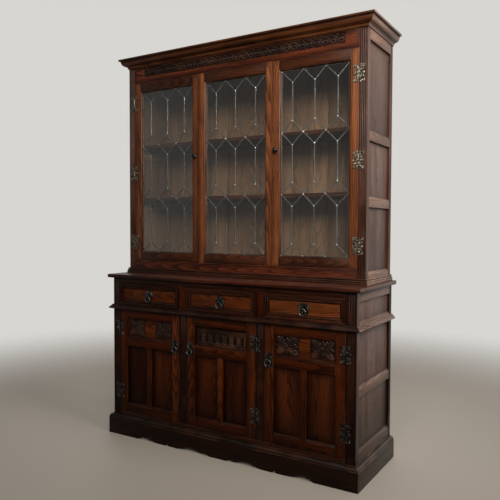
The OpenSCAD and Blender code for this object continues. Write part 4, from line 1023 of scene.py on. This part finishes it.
def embossed(span, inside, height, hand=1):
    # a thin beaten sheet that faces up: a grid cut to an outline, its rim drawn onto the line and turned down
    look = beating
    step, near = look["step"], look["near"]
    x0, x1, y0, y1 = span
    work = bmesh.new()
    across, up = round((x1 - x0) / step), round((y1 - y0) / step)
    bmesh.ops.create_grid(work, x_segments=across, y_segments=up, size=0.5)
    bmesh.ops.scale(work, vec=(x1 - x0, y1 - y0, 1), verts=work.verts)
    bmesh.ops.translate(work, vec=((x0 + x1) / 2, (y0 + y1) / 2, 0), verts=work.verts)
    spare = [face for face in work.faces if inside(*face.calc_center_median()[:2]) < 0]
    bmesh.ops.delete(work, geom=spare, context="FACES")
    for vert in [vert for vert in work.verts if vert.is_boundary]:
        for turn in range(look["draws"]):
            x, y = vert.co.x, vert.co.y
            slope = Vector((inside(x + near, y) - inside(x - near, y),
                            inside(x, y + near) - inside(x, y - near))) / (2 * near)
            if slope.length_squared > look["least"]:
                move = slope * (clamp(inside(x, y), -step, step) / slope.length_squared)
                vert.co.x, vert.co.y = x - move.x * look["draw"], y - move.y * look["draw"]
    worn = work.faces.layers.float.new("edgeWear")
    hollow = work.verts.layers.float.new("hollow")
    for vert in work.verts:
        vert.co.z = height(vert.co.x, vert.co.y)
        vert[hollow] = look["dark"] * clamp(1 - (vert.co.z - look["flat"]) / look["full"])
    for face in work.faces:
        face[worn] = clamp((face.calc_center_median().z - look["flat"]) / look["full"])
    rim = [edge for edge in work.edges if edge.is_boundary]
    made = bmesh.ops.extrude_edge_only(work, edges=rim)["geom"]
    for vert in (item for item in made if isinstance(item, bmesh.types.BMVert)):
        vert.co.z = look["back"]
    bmesh.ops.recalc_face_normals(work, faces=work.faces)
    if sum(face.normal.z for face in work.faces) < 0:
        bmesh.ops.reverse_faces(work, faces=work.faces)
    bmesh.ops.scale(work, vec=(hand * mm, mm, mm), verts=work.verts)
    if hand < 0:
        bmesh.ops.reverse_faces(work, faces=work.faces)
    return work


# each sheet: its span, discs and boxes that make its outline (middle, half size), round piercings and screws;
# the outlines mirror about x = 0, or about y = 0 for a hinge leaf
embossLook = {
    "leaf": {
        "span": (3, 26, -37, 37), "mirror": "y",
        "discs": ((18.5, 29.6, 6.4), (14.0, 14.5, 6.4), (18.0, 0, 6.6)),
        "boxes": ((6.7, 0, 3.0, 35.8), (11, 29.5, 7, 4.4), (10, 14.5, 6, 4), (11, 0, 7, 4)),
        "holes": ((15.0, 14.6, 2.5), (11.2, 22.2, 2.3), (11.4, 7.4, 2.3),
                  (6.6, 30.0, 1.5), (6.6, 18.0, 1.5), (6.6, 6.0, 1.5)),
        "screws": ((18.5, 29.5), (16.5, 0)),
    },
    "drawer": {
        "span": (-28, 28, -30, 25), "mirror": "x",
        "discs": ((19.4, 4, 7.4), (11, 12.3, 7.2), (0, 16.4, 6.4), (16, -8.5, 6.6), (13.5, -20, 7.4),
                  (0, -22, 6.4)),
        "boxes": ((0, -4, 14, 16),), "holes": ((10.8, 12.3, 2.1), (17.2, -8.5, 1.8), (14.5, -20.5, 2.0)),
        "screws": ((20, 4),),
    },
    "cupboard": {
        "span": (-21, 21, -42, 28), "mirror": "x",
        "discs": ((13, 4, 6.8), (9.1, 16.6, 6.6), (0, 21.4, 5.2), (12.4, -10, 6.4), (12.4, -24, 6.4),
                  (7.5, -33.4, 6.0), (0, -36.4, 4.6)),
        "boxes": ((0, -8, 12, 23),), "holes": ((9.1, 17, 2.1), (13.4, -10, 1.7), (9.1, -29, 2.1)),
        "screws": ((13, 4),),
    },
}


def folded(look, x, y):
    return (abs(x), y) if look["mirror"] == "x" else (x, abs(y))


def sheetInside(look, x, y):
    # how far a point is inside the sheet's outline, less than nothing outside it
    x, y = folded(look, x, y)
    discs = [radius - math.hypot(x - mx, y - my) for mx, my, radius in look["discs"]]
    boxes = [min(halfX - abs(x - mx), halfY - abs(y - my)) for mx, my, halfX, halfY in look["boxes"]]
    holes = [math.hypot(x - mx, y - my) - radius for mx, my, radius in look["holes"]]
    return min([max(discs + boxes)] + holes)


def sheetHeight(look, x, y):
    # a raised rim, rings around the screws and rows of small bosses
    rise, at, wide = beating["rim"]
    lift = rise * bump(sheetInside(look, x, y) - at, wide)
    x, y = folded(look, x, y)
    rise, at, wide = beating["screwRing"]
    for mx, my in look["screws"]:
        lift = max(lift, rise * bump(math.hypot(x - mx, y - my) - at, wide))
    if look["mirror"] == "y":
        at, pitch = beating["leafBosses"]
        bossX, bossY = x - at, (y + pitch / 2) % pitch - pitch / 2
    else:
        inner, outer = beating["plateBosses"]
        far = math.hypot(x, y)
        bossX = far - (inner if far < beating["between"] else outer)
        bossY = (math.atan2(x, y) * beating["turns"] % 2 - 1) * beating["apart"]
    rise, radius = beating["boss"]
    boss = math.hypot(bossX, bossY)
    if boss < radius:
        lift = max(lift, rise * dome(boss, radius))
    return beating["flat"] + lift


def sheet(kind, hand=1):
    look = embossLook[kind]
    return embossed(look["span"], lambda x, y: sheetInside(look, x, y), lambda x, y: sheetHeight(look, x, y),
                    hand)


# how rubbed screws and solder are all over, and how their shading and that of the sheets breaks, in degrees
smallWork = {"worn": 0.6, "smoothTo": 40}


def scatter(source, places, name, finish, body, turned=True):
    # copies of one small shape at places on the front, each turned by chance about its own middle
    dice = random.Random(name)
    mesh = bpy.data.meshes.new("part")
    source.to_mesh(mesh)
    source.free()
    work = bmesh.new()
    for place in places:
        count = len(work.verts)
        work.from_mesh(mesh)
        work.verts.ensure_lookup_table()
        added = work.verts[count:]
        if turned:
            spin = Matrix.Rotation(dice.uniform(0, math.pi), 3, "Z")
            bmesh.ops.rotate(work, cent=(0, 0, 0), matrix=spin, verts=added)
        bmesh.ops.rotate(work, cent=(0, 0, 0), matrix=Matrix.Rotation(math.radians(90), 3, "X"), verts=added)
        bmesh.ops.translate(work, vec=Vector(place) * mm, verts=added)
    bpy.data.meshes.remove(mesh)
    if not work.faces.layers.float.get("edgeWear"):
        worn = work.faces.layers.float.new("edgeWear")
        for face in work.faces:
            face[worn] = smallWork["worn"]
    shadeByAngle(work, smallWork["smoothTo"])
    return finishPiece(work, name, finishes[finish], body)


# holes of a hinge leaf, out from its pin and up from its middle, and where the screws of the plates are
leafHoles = ((18.5, 29.5), (18.5, -29.5), (16.5, 0))
plateLook = {"thick": 1.8, "proud": 0.5, "drawerHoles": 20, "cupboardHoles": 13, "up": 4}
# the side on which each door hangs
hands = {"left": -1, "centre": 1, "right": 1}


def leafScrews(pin, front, heights, hand):
    depth = front - plateLook["thick"] - plateLook["proud"]
    return [(pin + hand * out, depth, z + up) for z in heights for out, up in leafHoles]


def plateScrews(middle, height, half):
    depth = layout["baseFace"] - plateLook["thick"] - plateLook["proud"]
    return [(middle + side * half, depth, height + plateLook["up"]) for side in (-1, 1)]


for side in ("left", "right"):
    hand, label = hands[side], side.capitalize()
    places = [(hand * layout["glazedPin"], layout["showFace"], z) for z in layout["glazedHinges"]]
    scatter(sheet("leaf", hand), places, "displayJamb%sLeafRelief" % label, "antiqueBrass", "carcass",
            False)
    scatter(sheet("leaf", -hand), places, "glazedDoor%sLeafRelief" % label, "antiqueBrass",
            "glazed door " + side, False)
for side, pin in layout["cupboardPins"].items():
    hand, label = hands[side], side.capitalize()
    places = [(pin, layout["baseFace"], z) for z in layout["cupboardHinges"]]
    scatter(sheet("leaf", hand), places, "cupboardJamb%sLeafRelief" % label, "darkBrass", "carcass",
            False)
    scatter(sheet("leaf", -hand), places, "cupboardDoor%sLeafRelief" % label, "darkBrass",
            "cupboard door " + side, False)
    scatter(sheet("cupboard"), [(layout["pullPlaces"][side], layout["baseFace"], layout["pullHeight"])],
            "cupboardDoor%sPlateRelief" % label, "darkBrass", "cupboard door " + side, False)
    scatter(sheet("drawer"), [(layout["drawerPlaces"][side], layout["baseFace"], layout["drawerPullHeight"])],
            "drawer%sPlateRelief" % label, "darkBrass", "drawer " + side, False)
print("embossed sheets set")

jambPlaces, cupboardJambPlaces = [], []
for side in ("left", "right"):
    hand = hands[side]
    pin = hand * layout["glazedPin"]
    jambPlaces += leafScrews(pin, layout["showFace"], layout["glazedHinges"], hand)
    scatter(screwHead(), leafScrews(pin, layout["showFace"], layout["glazedHinges"], -hand),
            "glazedDoor%sScrews" % side.capitalize(), "antiqueBrass", "glazed door " + side)
for side, pin in layout["cupboardPins"].items():
    hand, label = hands[side], side.capitalize()
    cupboardJambPlaces += leafScrews(pin, layout["baseFace"], layout["cupboardHinges"], hand)
    scatter(screwHead(), leafScrews(pin, layout["baseFace"], layout["cupboardHinges"], -hand)
            + plateScrews(layout["pullPlaces"][side], layout["pullHeight"], plateLook["cupboardHoles"]),
            "cupboardDoor%sScrews" % label, "darkBrass", "cupboard door " + side)
    places = plateScrews(layout["drawerPlaces"][side], layout["drawerPullHeight"], plateLook["drawerHoles"])
    scatter(screwHead(), places, "drawer%sScrews" % label, "darkBrass", "drawer " + side)
scatter(screwHead(), jambPlaces, "displayJambScrews", "antiqueBrass", "carcass")
scatter(screwHead(), cupboardJambPlaces, "cupboardJambScrews", "darkBrass", "carcass")
print("screws set")

solderLook = {"radius": 2.7, "rise": 0.9, "lap": 5, "rows": 3, "cross": 52}


def solderDrop():
    drop = bmesh.new()
    bmesh.ops.create_uvsphere(drop, u_segments=8, v_segments=4, radius=solderLook["radius"] * mm)
    bmesh.ops.scale(drop, vec=(1, 1, solderLook["rise"] / solderLook["radius"]), verts=drop.verts)
    return drop


def solderPlaces(node):
    # the crossings of a sash's lead, from the box that the lead fills
    look = solderLook
    low, high = (Vector(corner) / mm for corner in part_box(node))
    x0, x1 = low.x + look["lap"], high.x - look["lap"]
    z0, z1 = low.z + look["lap"], high.z - look["lap"]
    step, row = (x1 - x0) / 6, (z1 - z0) / look["rows"]
    places = []
    for line in range(look["rows"]):
        top = z1 - line * row
        crossings = (top - look["cross"], top - row + look["cross"])
        places += [(x0 + i * step, low.y, z) for i in (1, 3, 5) for z in crossings]
    for line in range(look["rows"] + 1):
        places += [(x0 + i * step, low.y, z1 - line * row) for i in (0, 2, 4, 6)]
    return places


for node in nodes:
    if node.endswith("_leading"):
        scatter(solderDrop(), solderPlaces(node), pieceName(node) + "Solder", "solder", bodyOf(node))
print("solder set")


# the floor is even and pale, and runs out into the backdrop between two distances, in metres
stageLook = {
    "colour": (0.30, 0.265, 0.225), "shade": 0.97, "patches": 3, "roughness": 0.55, "size": 5.0,
    "fade": (1.6, 3.8),
}


def makeFloor():
    work = bmesh.new()
    bmesh.ops.create_grid(work, x_segments=2, y_segments=2, size=stageLook["size"])
    mesh = bpy.data.meshes.new("studioFloor")
    work.to_mesh(mesh)
    work.free()
    floor = bpy.data.objects.new("studioFloor", mesh)
    bpy.context.scene.collection.objects.link(floor)
    material, tree = newMaterial("paleFloor")
    place = newNode(tree, "TexCoord", (-600, 0)).outputs["Object"]
    colour = stageLook["colour"] + (1,)
    dark = tuple(c * stageLook["shade"] for c in stageLook["colour"]) + (1,)
    patches = noiseOn(tree, place, stageLook["patches"], 2, (-400, 0))
    tone = blendColour(tree, "MIX", patches, dark, colour, (0, 0))
    far = newNode(tree, "VectorMath", (600, 300), {0: place}, operation="LENGTH").outputs["Value"]
    fade = remap(tree, far, *stageLook["fade"], 0, 1, (800, 400))
    surface(tree, {"Base Color": tone, "Roughness": stageLook["roughness"]}, (1, 1, 1, 1), fade)
    mesh.materials.append(material)


lightLook = {
    # what the camera sees behind the object, and how bright the room is in front of it and behind it
    "backdrop": (0.68, 0.67, 0.64), "room": (0.95, 0.93, 0.90), "roomFront": 0.21, "roomBehind": 0.66,
    # from where to where in Y the room grows brighter, and a paler wall at the front left, with its ends in X
    # and Y
    "roomTurns": (-0.4, 0.6), "wall": 0.12, "wallSide": (-0.68, -0.50), "wallFront": (-0.3, 0),
    # place, aim, size, power, colour and spread in degrees of each soft panel
    "key": ((1.5, -2.4, 3.7), (0.75, 0, 1.8), (1.8, 1.2), 27, (1.0, 0.95, 0.88), 96),
    "front": ((2.3, -2.9, 2.45), (0.75, 0, 1.45), (1.55, 1.05), 25, (1.0, 0.96, 0.90), 64),
    "side": ((3.0, -0.3, 3.3), (0.6, 0, 2.0), (1.6, 1.4), 24, (1.0, 0.98, 0.95), 74),
}


def makeLight(name, place, aim, size, power, colour, spread):
    light = bpy.data.lights.new(name, "AREA")
    light.shape = "RECTANGLE"
    light.size, light.size_y = size
    light.energy = power
    light.color = colour
    light.spread = math.radians(spread)
    lamp = bpy.data.objects.new(name, light)
    lamp.location = place
    lamp.rotation_euler = (Vector(aim) - Vector(place)).to_track_quat("-Z", "Y").to_euler()
    bpy.context.scene.collection.objects.link(lamp)


def makeWorld():
    # an even backdrop, and a room that is brighter behind the object than in front of it
    world = bpy.data.worlds.new("softRoom")
    world.use_nodes = True
    tree = world.node_tree
    tree.nodes.clear()
    look = lightLook
    way = newNode(tree, "TexCoord", (-900, 0)).outputs["Generated"]
    parts = newNode(tree, "SeparateXYZ", (-700, 0), {0: way}).outputs
    # the glass on the left mirrors the wall
    wallSide = remap(tree, parts["X"], *look["wallSide"], look["wall"], 0, (-500, -150))
    wallFront = remap(tree, parts["Y"], *look["wallFront"], 1, 0, (-500, -300))
    wall = calc(tree, "MULTIPLY", wallSide, wallFront, (-400, -200))
    depth = remap(tree, parts["Y"], *look["roomTurns"], look["roomFront"], look["roomBehind"], (-500, 0))
    strength = calc(tree, "ADD", depth, wall, (-350, 0))
    room = newNode(tree, "Background", (-200, 0), {0: look["room"] + (1,), 1: strength}).outputs[0]
    backdrop = newNode(tree, "Background", (-200, 200), {0: look["backdrop"] + (1,)}).outputs[0]
    ray = newNode(tree, "LightPath", (-200, 500)).outputs["Is Camera Ray"]
    mix = newNode(tree, "MixShader", (100, 100), {0: ray, 1: room, 2: backdrop}).outputs[0]
    newNode(tree, "OutputWorld", (350, 100), {0: mix})
    bpy.context.scene.world = world


# fitted to the photograph's straight edges
cameraLook = {"focal": 586.7, "frame": 500.0, "yaw": -31.45, "pitch": -2.18, "roll": 0.18,
              "place": (1.485, -2.372, 1.043)}


def makeCamera():
    data = bpy.data.cameras.new("photoCamera")
    data.sensor_width = 36
    data.sensor_fit = "HORIZONTAL"
    data.lens = cameraLook["focal"] / cameraLook["frame"] * data.sensor_width
    yaw, pitch, roll = (math.radians(cameraLook[k]) for k in ("yaw", "pitch", "roll"))
    ahead = Vector((math.sin(yaw) * math.cos(pitch), math.cos(yaw) * math.cos(pitch), math.sin(pitch)))
    right = Vector((math.cos(yaw), -math.sin(yaw), 0))
    up = right.cross(ahead)
    rightTurned = right * math.cos(roll) + up * math.sin(roll)
    upTurned = up * math.cos(roll) - right * math.sin(roll)
    turn = Matrix((rightTurned, upTurned, -ahead)).transposed()
    camera = bpy.data.objects.new("photoCamera", data)
    camera.matrix_world = Matrix.Translation(cameraLook["place"]) @ turn.to_4x4()
    bpy.context.scene.collection.objects.link(camera)
    bpy.context.scene.camera = camera


makeFloor()
for name in ("key", "front", "side"):
    makeLight(name + "Light", *lightLook[name])
makeWorld()
makeCamera()
bpy.context.scene.view_settings.view_transform = "Standard"
print("floor, lights and camera set")
